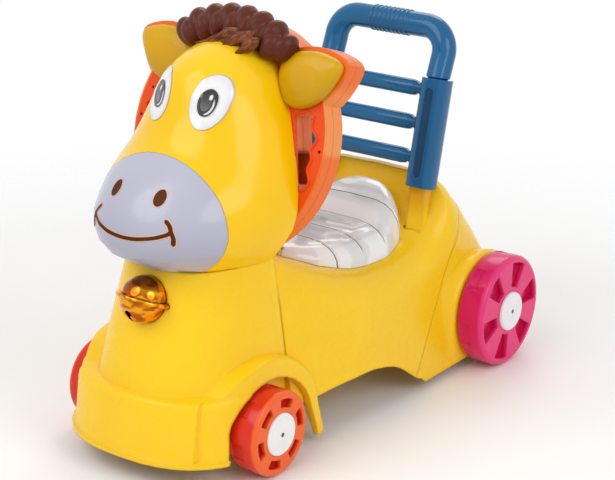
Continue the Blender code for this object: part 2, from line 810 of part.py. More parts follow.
def hinge_place():
    return (0, HINGE_Y, saddle_top(HINGE_Y) + HINGE_RADIUS * 0.6)


def hinge_bore(parent, name):
    reach = HINGE_HALF + HINGE_EAR + 0.02
    return add_object(name, rod_mesh(name, HINGE_PIN_RADIUS + RUNNING_GAP, -reach, reach, steps=16),
                      None, parent, hinge_place())


def hinge_envelope(parent):
    reach = HINGE_HALF + GAP
    return add_object("hinge_room", rod_mesh("hinge_room", HINGE_RADIUS + 2 * GAP, -reach,
                                             reach, steps=20), None, parent, hinge_place())


def hinge_ear(parent, tag, side):
    """A lug on the tub that carries one end of the seat's hinge pin."""
    near, far = HINGE_HALF + 2 * GAP, HINGE_HALF + HINGE_EAR
    ends = (near, far) if side > 0 else (-far, -near)
    height = saddle_top(HINGE_Y)
    middle = hinge_place()[2]
    outline = [(HINGE_Y - 0.007, height - 0.006), (HINGE_Y + 0.007, height - 0.006)]
    for i in range(9):
        turn = math.pi * i / 8
        outline.append((HINGE_Y + HINGE_RADIUS * math.cos(turn),
                        middle + HINGE_RADIUS * math.sin(turn)))
    name = "hinge_ear_" + tag
    return add_object(name, outline_solid(name, outline, *ends, axis=0), None, parent)


def make_hinge_pin(walker, steel):
    reach = HINGE_HALF + HINGE_EAR + 0.001
    return add_object("seat_hinge_pin", rod_mesh("seat_hinge_pin", HINGE_PIN_RADIUS, -reach,
                                                 reach, steps=16), steel, walker,
                      hinge_place())


# Wheels

def wheel_profile(radius, width):
    """Half section of a wheel about its axle: (radius, distance outwards from the middle)."""
    face = width / 2
    bore = AXLE_RADIUS + RUNNING_GAP
    dish = face - WHEEL_WEB
    return [(HUB_RADIUS + GAP, face - 0.0012), (radius - 0.006, face),
            (radius - 0.0018, face - 0.002), (radius, face - 0.007), (radius, -face + 0.002),
            (radius - 0.0055, -face), (radius - 0.0065, dish), (HUB_RADIUS * 0.6, dish),
            (HUB_RADIUS * 0.5, -face), (bore, -face), (bore, face - CAP_DEPTH),
            (HUB_RADIUS + GAP, face - CAP_DEPTH)]


def pocket_outline(radius, halves):
    """One recess of the wheel's face, in (along the radius, across it)."""
    inner, outer = HUB_RADIUS + 0.004, radius - 0.0065
    near, far = halves
    corner = POCKET_CORNER
    return [(inner, -near + corner), (inner + corner, -near), (outer - corner, -far),
            (outer, -far + corner), (outer, far - corner), (outer - corner, far),
            (inner + corner, near), (inner, near - corner)]


def wheel_mesh(name, radius, width, halves):
    """A wheel about local Z, its outer face towards +Z, as one finished mesh."""
    mesh, steps = turned(name + "_section", wheel_profile(radius, width))
    blank = add_object(name + "_blank", mesh)
    add_screw(blank, steps)
    face = width / 2
    for i in range(POCKETS):
        turn = 2 * math.pi * (i + POCKET_TURN) / POCKETS
        pocket = add_object(
            f"{name}_pocket_{i}",
            outline_solid(f"{name}_pocket_{i}", pocket_outline(radius, halves),
                          face - POCKET_DEPTH, face + 0.01, axis=2), rotation=(0, 0, turn))
        cut(blank, pocket)
        notch = add_object(
            f"{name}_notch_{i}",
            box_mesh(f"{name}_notch_{i}", (radius - 0.0016, -radius * 0.2, -face - 0.01),
                     (radius + 0.01, radius * 0.2, 0.0)), rotation=(0, 0, turn))
        cut(blank, notch)
    bpy.context.view_layer.update()
    evaluated = blank.evaluated_get(bpy.context.evaluated_depsgraph_get())
    finished = bpy.data.meshes.new_from_object(evaluated)
    finished.name = name
    return smooth(finished, 30)


def wheel_turn(side):
    """Turns local Z outwards: towards +X on the left side, -X on the right."""
    return (0, side * math.pi / 2, 0)


def cap_profile(face):
    foot = -CAP_DEPTH + GAP
    return [(0.0, face - 0.0015), (0.0015, face), (HUB_RADIUS - 0.004, face - 0.0004),
            (HUB_RADIUS, face - 0.003), (HUB_RADIUS, foot), (HUB_RADIUS - 0.002, foot),
            (HUB_RADIUS - 0.002, -0.001), (0.0, -0.001)]


def make_wheels(walker, front_colour, rear_colour, white, steel):
    axles = (("front", 0.0, FRONT_WHEEL_RADIUS, FRONT_WHEEL_WIDTH, FRONT_WHEEL_FACE,
              front_colour, FRONT_POCKET, 0.0020),
             ("rear", WHEELBASE, REAR_WHEEL_RADIUS, REAR_WHEEL_WIDTH, REAR_WHEEL_FACE,
              rear_colour, REAR_POCKET, 0.0035))
    for end, y, radius, width, face, colour, halves, proud in axles:
        mesh = wheel_mesh(end + "_wheel", radius, width, halves)
        mesh.materials.clear()
        for side, tag in ((1, "left"), (-1, "right")):
            place = (side * (face - width / 2), y, radius)
            add_object(f"{end}_wheel_{tag}", mesh, colour, walker, place, wheel_turn(side))
            cap_mesh, steps = turned(f"{end}_hub_cap_{tag}", cap_profile(proud))
            cap = add_object(f"{end}_hub_cap_{tag}", cap_mesh, white, walker,
                             (side * face, y, radius), wheel_turn(side))
            add_screw(cap, 20)
            start = face - CAP_DEPTH + FASTENER_GAP
            nut = rod_mesh(f"{end}_axle_nut_{tag}", NUT_RADIUS, side * start,
                           side * (start + NUT_LENGTH), steps=12)
            nut_object = add_object(f"{end}_axle_nut_{tag}", nut, steel, walker,
                                    (0, y, radius))
            cut(nut_object, nut_bore(walker, end, tag, y, radius))
        reach = face - CAP_DEPTH + NUT_LENGTH + 0.0012
        add_object(end + "_axle", rod_mesh(end + "_axle", AXLE_RADIUS, -reach, reach,
                                           steps=20), steel, walker, (0, y, radius))


def nut_bore(walker, end, tag, y, radius):
    name = f"{end}_nut_bore_{tag}"
    return add_object(name, rod_mesh(name, AXLE_RADIUS + RUNNING_GAP, -0.2, 0.2, steps=20),
                      None, walker, (0, y, radius))


# Head

def face_profile():
    """Side profile of the head, (height, reach): forehead, long bridge, full muzzle."""
    return curve_through([(FACE_TOP, 0.008), (0.086, 0.042), (0.055, 0.077), (0.005, 0.083),
                          (-0.022, 0.092), (-0.062, 0.121), (-0.100, 0.129),
                          (-0.127, 0.111), (FACE_BOTTOM, 0.040)], 6)


def face_width():
    """Front outline of the head, (height, half width): narrow brow, wide cheeks."""
    return curve_through([(FACE_TOP, 0.008), (0.086, 0.036), (0.045, 0.064), (0.0, 0.083),
                          (-0.055, 0.099), (-0.090, 0.090), (-0.122, 0.062),
                          (FACE_BOTTOM, 0.016)], 6)


def head_power(height):
    """Squareness of the head's cross-sections: round above, fuller round the mouth."""
    share = min(1.0, max(0.0, (-0.070 - height) / 0.030))
    return 2.0 + 0.5 * share


def head_rings(grow, start):
    profile = face_profile()
    widths = face_width()
    top, bottom = FACE_TOP, FACE_BOTTOM
    count, steps = (12, 12) if grow < 0 else (18, 20)
    rings = []
    for i in range(steps + 1):
        share = (1 - math.cos(math.pi * i / steps)) / 2
        height = top + (bottom - top) * share
        reach = value_at(profile, height) + grow
        half = value_at(widths, height) + grow
        power = head_power(height)
        level = height + grow * (1 - 2 * share)
        ring = [(half, -start, level)]
        for j in range(count + 1):
            turn = math.pi * j / count
            x = half * signed_power(math.cos(turn), 2 / power)
            n = max(reach * math.sin(turn) ** (2 / power), start + 0.0001)
            ring.append((x, -n, level))
        ring.append((-half, -start, level))
        rings.append(ring)
    return rings


def head_volume(name, grow, start, material, head):
    return add_object(name, loft(name, head_rings(grow, start), 60), material, head)


def neck_plane_cut(walker, name, shift):
    """Everything below the neck's flat top, where the head stands on it."""
    low = (-0.2, -0.043, 0.0)
    high = (0.2, 0.2, NECK_TOP + shift)
    return add_object(name, box_mesh(name, low, high), None, walker)


def muzzle_block(walker, name, in_front, shift):
    low = (-0.2, -0.4 if in_front else MUZZLE_PLANE + shift, 0.0)
    high = (0.2, MUZZLE_PLANE - shift if in_front else 0.4, 0.5)
    return add_object(name, box_mesh(name, low, high), None, walker)


def make_face(walker, head, yellow, pale):
    cavity = head_volume("head_cavity", -WALL, -0.002, None, head)
    face = head_volume("face_shell", 0.0, SHELL_GAP, yellow, head)
    cut(face, cavity)
    keep_common(face, muzzle_block(walker, "face_block", False, GAP / 2))
    cut(face, neck_plane_cut(walker, "neck_plane", SHELL_GAP))
    muzzle = head_volume("muzzle", 0.0, SHELL_GAP, pale, head)
    cut(muzzle, cavity)
    keep_common(muzzle, muzzle_block(walker, "muzzle_room", True, GAP / 2))
    cut(muzzle, neck_grown(walker))


def neck_grown(walker):
    """The neck with a clearance round it, which the muzzle's lower edge stays clear of."""
    return add_object("neck_grown", loft("neck_grown", neck_rings(-SHELL_GAP, SKIRT_HEIGHT)),
                      None, walker)


def oval_rod(name, centre_x, height, half_width, half_height, lean):
    points = []
    count = 20
    for i in range(count):
        turn = 2 * math.pi * i / count
        x, z = half_width * math.cos(turn), half_height * math.sin(turn)
        points.append((centre_x + x * math.cos(lean) + z * math.sin(lean),
                       height - x * math.sin(lean) + z * math.cos(lean)))
    return outline_solid(name, points, -0.2, -0.02)


def make_eyes(head, white, dark):
    outer = head_volume("eye_outer", GAP + EYE_THICKNESS, 0.0, None, head)
    inner = head_volume("eye_inner", GAP, -0.01, None, head)
    pupil_outer = head_volume("pupil_outer", 2 * GAP + 2 * EYE_THICKNESS, 0.0, None, head)
    pupil_inner = head_volume("pupil_inner", 2 * GAP + EYE_THICKNESS, -0.01, None, head)
    for side, tag in ((1, "left"), (-1, "right")):
        x = side * EYE_X
        eye = add_object("eye_" + tag, oval_rod("eye_" + tag, x, EYE_HEIGHT, EYE_HALF_WIDTH,
                                                EYE_HALF_HEIGHT, side * EYE_LEAN),
                         white, head)
        keep_common(eye, outer)
        cut(eye, inner)
        pupil = add_object("pupil_" + tag, oval_rod(
            "pupil_" + tag, x - side * 0.002, EYE_HEIGHT - 0.001, PUPIL_HALF_WIDTH,
            PUPIL_HALF_HEIGHT, side * EYE_LEAN), dark, head)
        keep_common(pupil, pupil_outer)
        cut(pupil, pupil_inner)


def ear_outline(side, margin, steps=3):
    """Leaf-shaped outline of one ear on the disc's front, tip outwards."""
    keys = [(0.052, 0.070), (0.060, 0.087), (0.082, 0.0940), (0.104, 0.0930),
            (0.1215, 0.0850), (0.115, 0.0650), (0.101, 0.0470), (0.079, 0.0380),
            (0.060, 0.0455)]
    middle = Vector(EAR_MIDDLE)
    points = closed_curve_through(keys, steps)
    grown = [point + (point - middle).normalized() * margin for point in points]
    return [(side * point.x, point.y) for point in grown]


def ear_envelope(name, side, head):
    """The space in front of the disc that one ear takes up, with a clearance round it."""
    outline = ear_outline(side, 2 * GAP)
    return add_object(name, outline_solid(name, outline, -0.05, 0.01), None, head)


def make_ears(head, yellow):
    for side, tag in ((1, "left"), (-1, "right")):
        outline = [Vector(point) for point in ear_outline(side, 0.0)]
        middle = Vector((side * EAR_MIDDLE[0], EAR_MIDDLE[1]))
        rings = []
        for share, reach in ((1.0, 0.0), (1.0, 0.35), (0.93, 0.65), (0.76, 0.87), (0.45, 1.0)):
            depth = SHELL_GAP + EAR_THICKNESS * reach
            rings.append([(*(middle + (point - middle) * share), -depth) for point in outline])
        rings = [[(x, n, u) for x, u, n in ring] for ring in rings]
        ear = add_object("ear_" + tag, loft("ear_" + tag, rings, 50), yellow, head)
        cut(ear, head_volume("ear_room_" + tag, GAP, -0.01, None, head))


def mane_place(i):
    turn = MANE_SPAN * (i / (MANE_CURLS - 1) - 0.5)
    return (MANE_RADIUS * math.sin(turn), MANE_RADIUS * math.cos(turn), turn)


def make_mane(head, brown, light_brown):
    """A crest of round curls over the brow, joined where they press together."""
    mane = None
    for i in range(MANE_CURLS):
        x, u, turn = mane_place(i)
        radius = CURL_RADIUS * (1.0 if 0 < i < MANE_CURLS - 1 else 0.85)
        mesh = sphere_mesh(f"curl_{i}", radius, 10, 7, (0.80, 1.15, 1.15))
        name = "mane" if i == 0 else f"curl_{i}"
        curl = add_object(name, mesh, brown if i == 0 else None, head,
                          (x, -0.013, u), (0, turn, 0))
        if mane is None:
            mane = curl
        else:
            join(mane, curl)
    cut(mane, head_volume("mane_room", GAP, -0.01, None, head))
    for side, tag in ((1, "left"), (-1, "right")):
        cut(mane, ear_envelope("mane_ear_room_" + tag, side, head))
    back = box_mesh("disc_front_room", (-0.2, -SHELL_GAP, -0.2), (0.2, 0.1, 0.2))
    cut(mane, add_object("disc_front_room", back, None, head))
    forelock = None
    for i in range(FORELOCKS):
        share = i - (FORELOCKS - 1) / 2
        name = "forelock" if i == 0 else f"tuft_{i}"
        mesh = sphere_mesh(name, FORELOCK_RADIUS, 8, 7, (0.85, 1.1, 1.9))
        tuft = add_object(name, mesh, light_brown if i == 0 else None, head,
                          (FORELOCK_X + FORELOCK_PITCH * share, -0.036, 0.0885),
                          (-0.35, 0.75, 0))
        if forelock is None:
            forelock = tuft
        else:
            join(forelock, tuft)
    cut(forelock, head_volume("forelock_room", GAP, -0.01, None, head))
    depth = 0.013 + CURL_RADIUS * 1.15 + GAP
    behind = box_mesh("mane_depth", (-0.1, -depth, 0.0), (0.1, 0.1, 0.2))
    cut(forelock, add_object("mane_depth", behind, None, head))


def slot_outline(side, grow):
    """The hand hole beside the face: straight towards the face, finger waves outside."""
    if grow > 0:
        wide = [(0.076, 0.0365), (0.0915, -0.036), (0.1045, -0.036), (0.1045, 0.0365)]
        spread = [(x + math.copysign(grow, x - 0.09), u + math.copysign(grow, u))
                  for x, u in wide]
        return [(side * x, u) for x, u in spread]
    inner = [(0.076, 0.031), (0.0915, -0.030)]
    wave = [(0.099, -0.036), (0.1045, -0.027), (0.1000, -0.016), (0.1025, -0.006),
            (0.0995, 0.003), (0.1045, 0.014), (0.0965, 0.023), (0.0970, 0.033)]
    top = [(0.088, 0.0365)]
    points = [Vector(p) for p in inner]
    points += curve_through(wave, 3)
    points += [Vector(p) for p in top]
    return [(side * point.x, point.y) for point in points]


def grown_outline(points, margin):
    """A closed outline moved outwards by the margin, each point along its own normal."""
    count = len(points)
    flat = [Vector(point) for point in points]
    area = sum(a.cross(b) for a, b in zip(flat, flat[1:] + flat[:1]))
    way = math.copysign(margin, area)
    grown = []
    for i in range(count):
        ahead = (flat[(i + 1) % count] - flat[i - 1]).normalized()
        grown.append(tuple(flat[i] + way * Vector((ahead.y, -ahead.x))))
    return grown


def slot_lip(side, tag, head):
    """The raised rim round one hand hole, kept clear of the face and the ear beside it."""
    label = "slot_lip_" + tag
    outline = grown_outline(slot_outline(side, 0.0), SLOT_LIP)
    lip = add_object(label, outline_solid(label, outline, -SLOT_LIP_PROUD, MERGE_STEP), None,
                     head)
    cut(lip, head_volume(label + "_room", SHELL_GAP, -0.01, None, head))
    cut(lip, ear_envelope(label + "_ear_room", side, head))
    return lip


def disc_volume(name, inset, front, back, material, head):
    """The round disc with its two ear lobes, between two depths behind its front face."""
    steps = 24 if inset > 0 else 48
    disc = add_object(name, rod_mesh(name, DISC_RADIUS - inset, front, back, axis=1,
                                     steps=steps), material, head)
    for side, tag in ((1, "left"), (-1, "right")):
        label = f"{name}_lobe_{tag}"
        outline = ear_outline(side, LOBE_MARGIN - inset, 1 if inset > 0 else 3)
        join(disc, add_object(label, outline_solid(label, outline, front, back), None, head))
    return disc


def slot_cutters(name, grow, front, back, head):
    found = []
    for side, tag in ((1, "left"), (-1, "right")):
        label = f"{name}_{tag}"
        found.append(add_object(label, outline_solid(label, slot_outline(side, grow), front,
                                                     back), None, head))
    return found


def make_disc(walker, head, orange):
    room = disc_volume("disc_room", WALL, WALL, DISC_DEPTH - WALL, None, head)
    for cutter in slot_cutters("slot_wall", WALL, -0.01, DISC_DEPTH + 0.01, head):
        cut(room, cutter)
    cut(room, neck_plane_cut(walker, "disc_floor", SHELL_GAP + WALL))
    for post in board_posts("board_post", head):
        cut(room, post)
    slots = slot_cutters("slot", 0.0, -0.01, DISC_DEPTH + 0.01, head)
    ends = (("disc_front", 0.0, DISC_SEAM - GAP / 2), ("disc_rear", DISC_SEAM + GAP / 2,
                                                     DISC_DEPTH))
    floor = neck_plane_cut(walker, "disc_foot", SHELL_GAP)
    tub = tub_volume("disc_tub_room", -SHELL_GAP, 0.0, None, walker)
    for name, front, back in ends:
        shell = disc_volume(name, 0.0, front, back, orange, head)
        cut(shell, room)
        if name == "disc_front":
            for side, tag in ((1, "left"), (-1, "right")):
                join(shell, slot_lip(side, tag, head))
        for slot in slots:
            cut(shell, slot)
        cut(shell, floor)
        cut(shell, tub)
        cut(shell, mount_hole(walker, name + "_mount_hole", 0.15, MOUNT_TOP + GAP))
        if name == "disc_front":
            for i, (x, u) in enumerate(((0.110, 0.0025), (-0.110, 0.0025), (-0.101, 0.031))):
                hole = rod_mesh(f"screw_hole_{i}", 0.0016, -0.01, 0.01, axis=1, steps=12)
                cut(shell, add_object(f"screw_hole_{i}", hole, None, head, (x, 0, u)))
        else:
            cut_panel_holes(shell, head)


# Head mount

def mount_hole(walker, name, low, high):
    """Room for the post that ties the disc to the neck."""
    x, y = MOUNT_HALF
    return add_object(name, box_mesh(name, (-x - GAP, MOUNT_Y - y - GAP, low),
                                     (x + GAP, MOUNT_Y + y + GAP, high)), None, walker)


def make_head_mount(walker, grey):
    x, y = MOUNT_HALF
    side, front, back = MOUNT_FLANGE
    under = NECK_TOP - WALL - GAP
    post = add_object("head_mount", box_mesh("head_mount", (-x, MOUNT_Y - y, under - 0.002),
                                             (x, MOUNT_Y + y, MOUNT_TOP)), grey, walker)
    flange = box_mesh("mount_flange", (-x - side, MOUNT_Y - y - front, under - 0.004),
                      (x + side, MOUNT_Y + y + back, under))
    join(post, add_object("mount_flange", flange, None, walker))


# Bell

def bell_frame(walker):
    """The bell's own frame: it leans back with the chest and rolls a little to its left."""
    bell = bpy.data.objects.get("bell_frame")
    if bell is None:
        bell = bpy.data.objects.new("bell_frame", None)
        PARTS.objects.link(bell)
        bell.parent = walker
        bell.location = BELL_CENTRE
        bell.rotation_euler = (BELL_PITCH, BELL_ROLL, 0)
    return bell


def bell_envelope(walker):
    room = add_object("bell_room", sphere_mesh("bell_room", BELL_RADIUS + 2 * GAP, 20, 12),
                      None, bell_frame(walker))
    join(room, bell_band(bell_frame(walker), "bell_band_room", None, 2 * GAP))
    return room


def bell_band(bell, name, material, grow):
    steps = 8
    radius = BELL_BAND_RADIUS + grow
    middle = BELL_RADIUS + BELL_BAND_RADIUS * 0.6
    if grow:
        profile = [(middle + radius * math.cos(2 * math.pi * i / steps),
                    -radius * math.sin(2 * math.pi * i / steps)) for i in range(steps)]
    else:
        inner = BELL_RADIUS - BELL_WALL
        profile = [(middle + radius * math.cos(a), -radius * math.sin(a))
                   for a in (math.pi * (i / 4 - 0.5) for i in range(5))]
        profile += [(inner, -radius), (inner, radius)]
    mesh, _ = turned(name, profile)
    band = add_object(name, mesh, material, bell)
    add_screw(band, 20)
    return band


def bell_half_profile(upper):
    inner = BELL_RADIUS - BELL_WALL
    start = BELL_BAND_RADIUS + GAP
    count = 5
    first = math.asin(start / BELL_RADIUS)
    first_inner = math.asin(start / inner)
    outside = []
    inside = []
    for i in range(count + 1):
        a = math.pi / 2 - (math.pi / 2 - first) * i / count
        b = first_inner + (math.pi / 2 - first_inner) * i / count
        outside.append((BELL_RADIUS * math.cos(a) if i else 0.0, BELL_RADIUS * math.sin(a)))
        inside.append((inner * math.cos(b) if i < count else 0.0, inner * math.sin(b)))
    points = outside + inside
    if upper:
        return points
    return [(radius, -height) for radius, height in reversed(points)]


def make_bell(walker, amber, steel):
    bell = bell_frame(walker)
    for name, upper in (("bell_upper", True), ("bell_lower", False)):
        mesh, _ = turned(name, bell_half_profile(upper))
        half = add_object(name, mesh, amber, bell)
        add_screw(half, 20)
        if not upper:
            drop = -BELL_RADIUS * math.sin(BELL_SLOT_TURN)
            slot = box_mesh("bell_slot", (-BELL_SLOT / 2, -0.05, -0.05),
                            (BELL_SLOT / 2, 0.05, drop))
            cut(half, add_object("bell_slot", slot, None, bell))
            hole = rod_mesh("bell_slot_end", BELL_SLOT_END, 0.012, 0.05, axis=2, steps=16)
            cut(half, add_object("bell_slot_end", hole, None, bell, (0, 0, 0),
                                 (math.pi / 2 + BELL_SLOT_TURN, 0, 0)))
    bell_band(bell, "bell_band", amber, 0.0)
    x, y, z = BELL_CENTRE
    low = z - BELL_RADIUS + BELL_WALL + BELL_BALL_RADIUS + GAP
    add_object("bell_ball", sphere_mesh("bell_ball", BELL_BALL_RADIUS, 12, 8), steel, walker,
               (x, y, low))


# Handle

def make_handle(handle, blue):
    """The hoop, in the handle's own frame: z runs up the sleeves, z = 0 at their foot."""
    top, corner = HANDLE_HEIGHT, HANDLE_CORNER
    start = SLEEVE_LENGTH - SOCKET_DEPTH + GAP
    narrow = HANDLE_TUBE_FOOT / HANDLE_TUBE
    points = [(HANDLE_HALF, 0.0, start, narrow),
              (HANDLE_HALF, 0.0, SLEEVE_LENGTH + GAP, narrow),
              (HANDLE_HALF, 0.0, SLEEVE_LENGTH + GAP + HOOP_SHOULDER, 1.0)]
    for i in range(7):
        turn = math.pi / 2 * i / 6
        points.append((HANDLE_HALF - corner + corner * math.cos(turn), HANDLE_SWEEP,
                       top - corner + corner * math.sin(turn), 1.0))
    leg = len(points)
    rib = 1.0 + GRIP_HEIGHT / HANDLE_TUBE
    for i in range(GRIP_RIBS):
        middle = GRIP_PITCH * ((GRIP_RIBS - 1) / 2 - i)
        for shift, radius in ((0.40, 1.0), (0.14, rib), (-0.14, rib)):
            points.append((middle + GRIP_PITCH * shift, HANDLE_SWEEP, top, radius))
    points += [(-x, y, z, r) for x, y, z, r in reversed(points[:leg])]
    curve = bpy.data.curves.new("handle_hoop", "CURVE")
    curve.dimensions = "3D"
    curve.bevel_depth = HANDLE_TUBE
    curve.bevel_resolution = 3
    curve.use_fill_caps = True
    spline = curve.splines.new("POLY")
    spline.points.add(len(points) - 1)
    for point, (x, y, z, radius) in zip(spline.points, points):
        point.co = (x, y, z, 1)
        point.radius = radius
    curve.materials.append(blue)
    hoop = bpy.data.objects.new("handle_hoop", curve)
    PARTS.objects.link(hoop)
    hoop.parent = handle
    make_sleeves(handle, blue)
    make_rungs(handle, blue)
    return hoop


def sleeve_outline(grow):
    """Section of a sleeve, round-cornered, in (x, y) about its own middle."""
    half_x, half_y = SLEEVE_WIDTH / 2 + grow, SLEEVE_DEPTH / 2 + grow
    points = []
    count = 16
    for i in range(count):
        turn = 2 * math.pi * (i + 0.5) / count
        points.append((half_x * signed_power(math.cos(turn), 0.55),
                       half_y * signed_power(math.sin(turn), 0.55)))
    return points


def sleeve_envelope(handle, tag, side):
    name = "sleeve_room_" + tag
    mesh = outline_solid(name, sleeve_outline(2 * GAP), -2 * GAP, SLEEVE_LENGTH, axis=2)
    return add_object(name, mesh, None, handle, (side * HANDLE_HALF, 0, 0))


def peg_cutter(handle, name, side, grow):
    half = PEG_SIDE / 2 + grow
    low = (side * HANDLE_HALF - half, -half, -PEG_LENGTH)
    high = (side * HANDLE_HALF + half, half, SOCKET_DEPTH - GAP + grow)
    return add_object(name, box_mesh(name, low, high), None, handle)


def make_sleeves(handle, blue):
    for side, tag in ((1, "left"), (-1, "right")):
        name = "handle_sleeve_" + tag
        sleeve = add_object(name, outline_solid(name, sleeve_outline(0.0), 0.0, SLEEVE_LENGTH,
                                                axis=2), blue, handle,
                            (side * HANDLE_HALF, 0, 0))
        cut(sleeve, peg_cutter(handle, "peg_socket_" + tag, side, GAP))
        socket = rod_mesh("hoop_socket_" + tag, HANDLE_TUBE_FOOT + GAP,
                          SLEEVE_LENGTH - SOCKET_DEPTH, SLEEVE_LENGTH + 0.01, axis=2,
                          steps=20)
        cut(sleeve, add_object("hoop_socket_" + tag, socket, None, handle,
                               (side * HANDLE_HALF, 0, 0)))
        for face in (1, -1):
            label = f"sleeve_recess_{tag}_{face}"
            cut(sleeve, add_object(label, recess_mesh(label, face), None, handle,
                                   (side * HANDLE_HALF, 0, 0)))
        for i in range(RUNGS):
            label = f"rung_hole_{tag}_{i}"
            near = HANDLE_HALF - SLEEVE_WIDTH / 2
            hole = rod_mesh(label, RUNG_RADIUS * 0.62 + GAP, side * (near - 0.01),
                            side * (near + RUNG_GRIP + GAP), steps=16)
            cut(sleeve, add_object(label, hole, None, handle, (0, 0, rung_height(i))))


def recess_mesh(name, face):
    """The long oblong recess on the front and back of a sleeve."""
    half, low, high = RECESS_HALF, RECESS_END, SLEEVE_LENGTH - RECESS_END
    points = []
    for i in range(5):
        turn = math.pi * i / 4
        points.append((half * math.cos(turn), high - half + half * math.sin(turn)))
    for i in range(5):
        turn = math.pi * i / 4
        points.append((-half * math.cos(turn), low + half - half * math.sin(turn)))
    near = SLEEVE_DEPTH / 2 - RECESS_DEPTH
    ends = (near, near + 0.01) if face > 0 else (-near - 0.01, -near)
    return outline_solid(name, points, *ends)


def rung_height(i):
    return RUNG_FIRST + RUNG_PITCH * i


def rung_profile():
    """Half section of a rung along its length: full, then necked to a knuckle at the end."""
    inner = HANDLE_HALF - SLEEVE_WIDTH / 2
    full, neck, knuckle, pin = (RUNG_RADIUS * s for s in (1.0, 0.68, 0.86, 0.62))
    end = inner + RUNG_GRIP
    one = [(0.0, end), (pin, end), (pin, inner - GAP), (knuckle, inner - GAP),
           (knuckle, inner - 0.004), (neck, inner - 0.006), (full * 0.92, inner - 0.009),
           (full, inner - 0.014)]
    return one + [(radius, -along) for radius, along in reversed(one)]


def make_rungs(handle, blue):
    for i in range(RUNGS):
        name = f"handle_rung_{i + 1}"
        mesh, _ = turned(name, rung_profile())
        rung = add_object(name, mesh, blue, handle, (0, 0, rung_height(i)),
                          (0, math.pi / 2, 0))
        add_screw(rung, 14)


# Rider's music panel, on the back of the disc

def button_places():
    places = []
    for i in range(BUTTONS):
        turn = math.pi * (0.5 - (i - (BUTTONS - 1) / 2) * 0.30)
        places.append((BUTTON_CIRCLE * math.cos(turn),
                       PANEL_HEIGHT - BUTTON_CIRCLE * math.sin(turn)))
    return places


def speaker_place():
    return (0.0, PANEL_HEIGHT + 0.018)


def cut_panel_holes(shell, head):
    deep = DISC_DEPTH + 0.01
    for i, (x, u) in enumerate(button_places()):
        hole = rod_mesh(f"shell_button_hole_{i}", BUTTON_RADIUS + GAP,
                        DISC_SEAM + 0.004, deep, axis=1, steps=16)
        cut(shell, add_object(f"shell_button_hole_{i}", hole, None, head, (x, 0, u)))
    x, u = speaker_place()
    hole = rod_mesh("shell_speaker_hole", SPEAKER_RADIUS - 0.003, DISC_SEAM + 0.004, deep,
                    axis=1, steps=24)
    cut(shell, add_object("shell_speaker_hole", hole, None, head, (x, 0, u)))
    half_x, half_u = BATTERY_HALF
    label = "battery_opening"
    cut(shell, add_object(label, box_mesh(
        label, (-half_x + 0.002, DISC_SEAM + 0.004, BATTERY_HEIGHT - half_u + 0.002),
        (half_x - 0.002, deep, BATTERY_HEIGHT + half_u - 0.002)), None, head))
    label = "battery_door_seat"
    cut(shell, add_object(label, box_mesh(
        label, (-half_x - GAP, DISC_DEPTH - 0.0016 - GAP, BATTERY_HEIGHT - half_u - GAP),
        (half_x + GAP, deep, BATTERY_HEIGHT + half_u + GAP)), None, head))
    label = "switch_opening"
    half_x = SWITCH_HALF[0] + SWITCH_TRAVEL + GAP
    half_u = SWITCH_HALF[1] + GAP
    cut(shell, add_object(label, box_mesh(
        label, (-half_x, DISC_SEAM + 0.004, SWITCH_HEIGHT - half_u),
        (half_x, deep, SWITCH_HEIGHT + half_u)), None, head))


def add_button(i, x, u, material, head):
    """A push button: its flange is held behind the shell, its plunger points at the board."""
    name = f"music_button_{i + 1}"
    held = DISC_DEPTH - WALL - GAP
    top = DISC_DEPTH + GAP + PANEL_DEPTH + BUTTON_PROUD
    button = add_object(name, rod_mesh(name, BUTTON_RADIUS, held - BUTTON_FLANGE / 2, top,
                                       axis=1, steps=16), material, head, (x, 0, u))
    flange = rod_mesh(name + "_flange", BUTTON_RADIUS + 2 * BUTTON_FLANGE,
                      held - BUTTON_FLANGE, held, axis=1, steps=16)
    join(button, add_object(name + "_flange", flange, None, head, (x, 0, u)))
    foot = BOARD_DEPTH + BOARD_THICKNESS + BUTTON_TRAVEL + GAP
    plunger = rod_mesh(name + "_plunger", PLUNGER_RADIUS, foot, held - BUTTON_FLANGE * 0.75,
                       axis=1, steps=10)
    join(button, add_object(name + "_plunger", plunger, None, head, (x, 0, u)))
    return button


def board_posts(name, head):
    """The two bosses in the front shell that the circuit board lies on."""
    posts = []
    for side, tag in ((1, "left"), (-1, "right")):
        label = f"{name}_{tag}"
        post = rod_mesh(label, BOARD_POST_RADIUS, -0.01, BOARD_DEPTH - GAP, axis=1, steps=12)
        posts.append(add_object(label, post, None, head,
                                (side * BOARD_POST_X, 0, BOARD_HEIGHT)))
    return posts


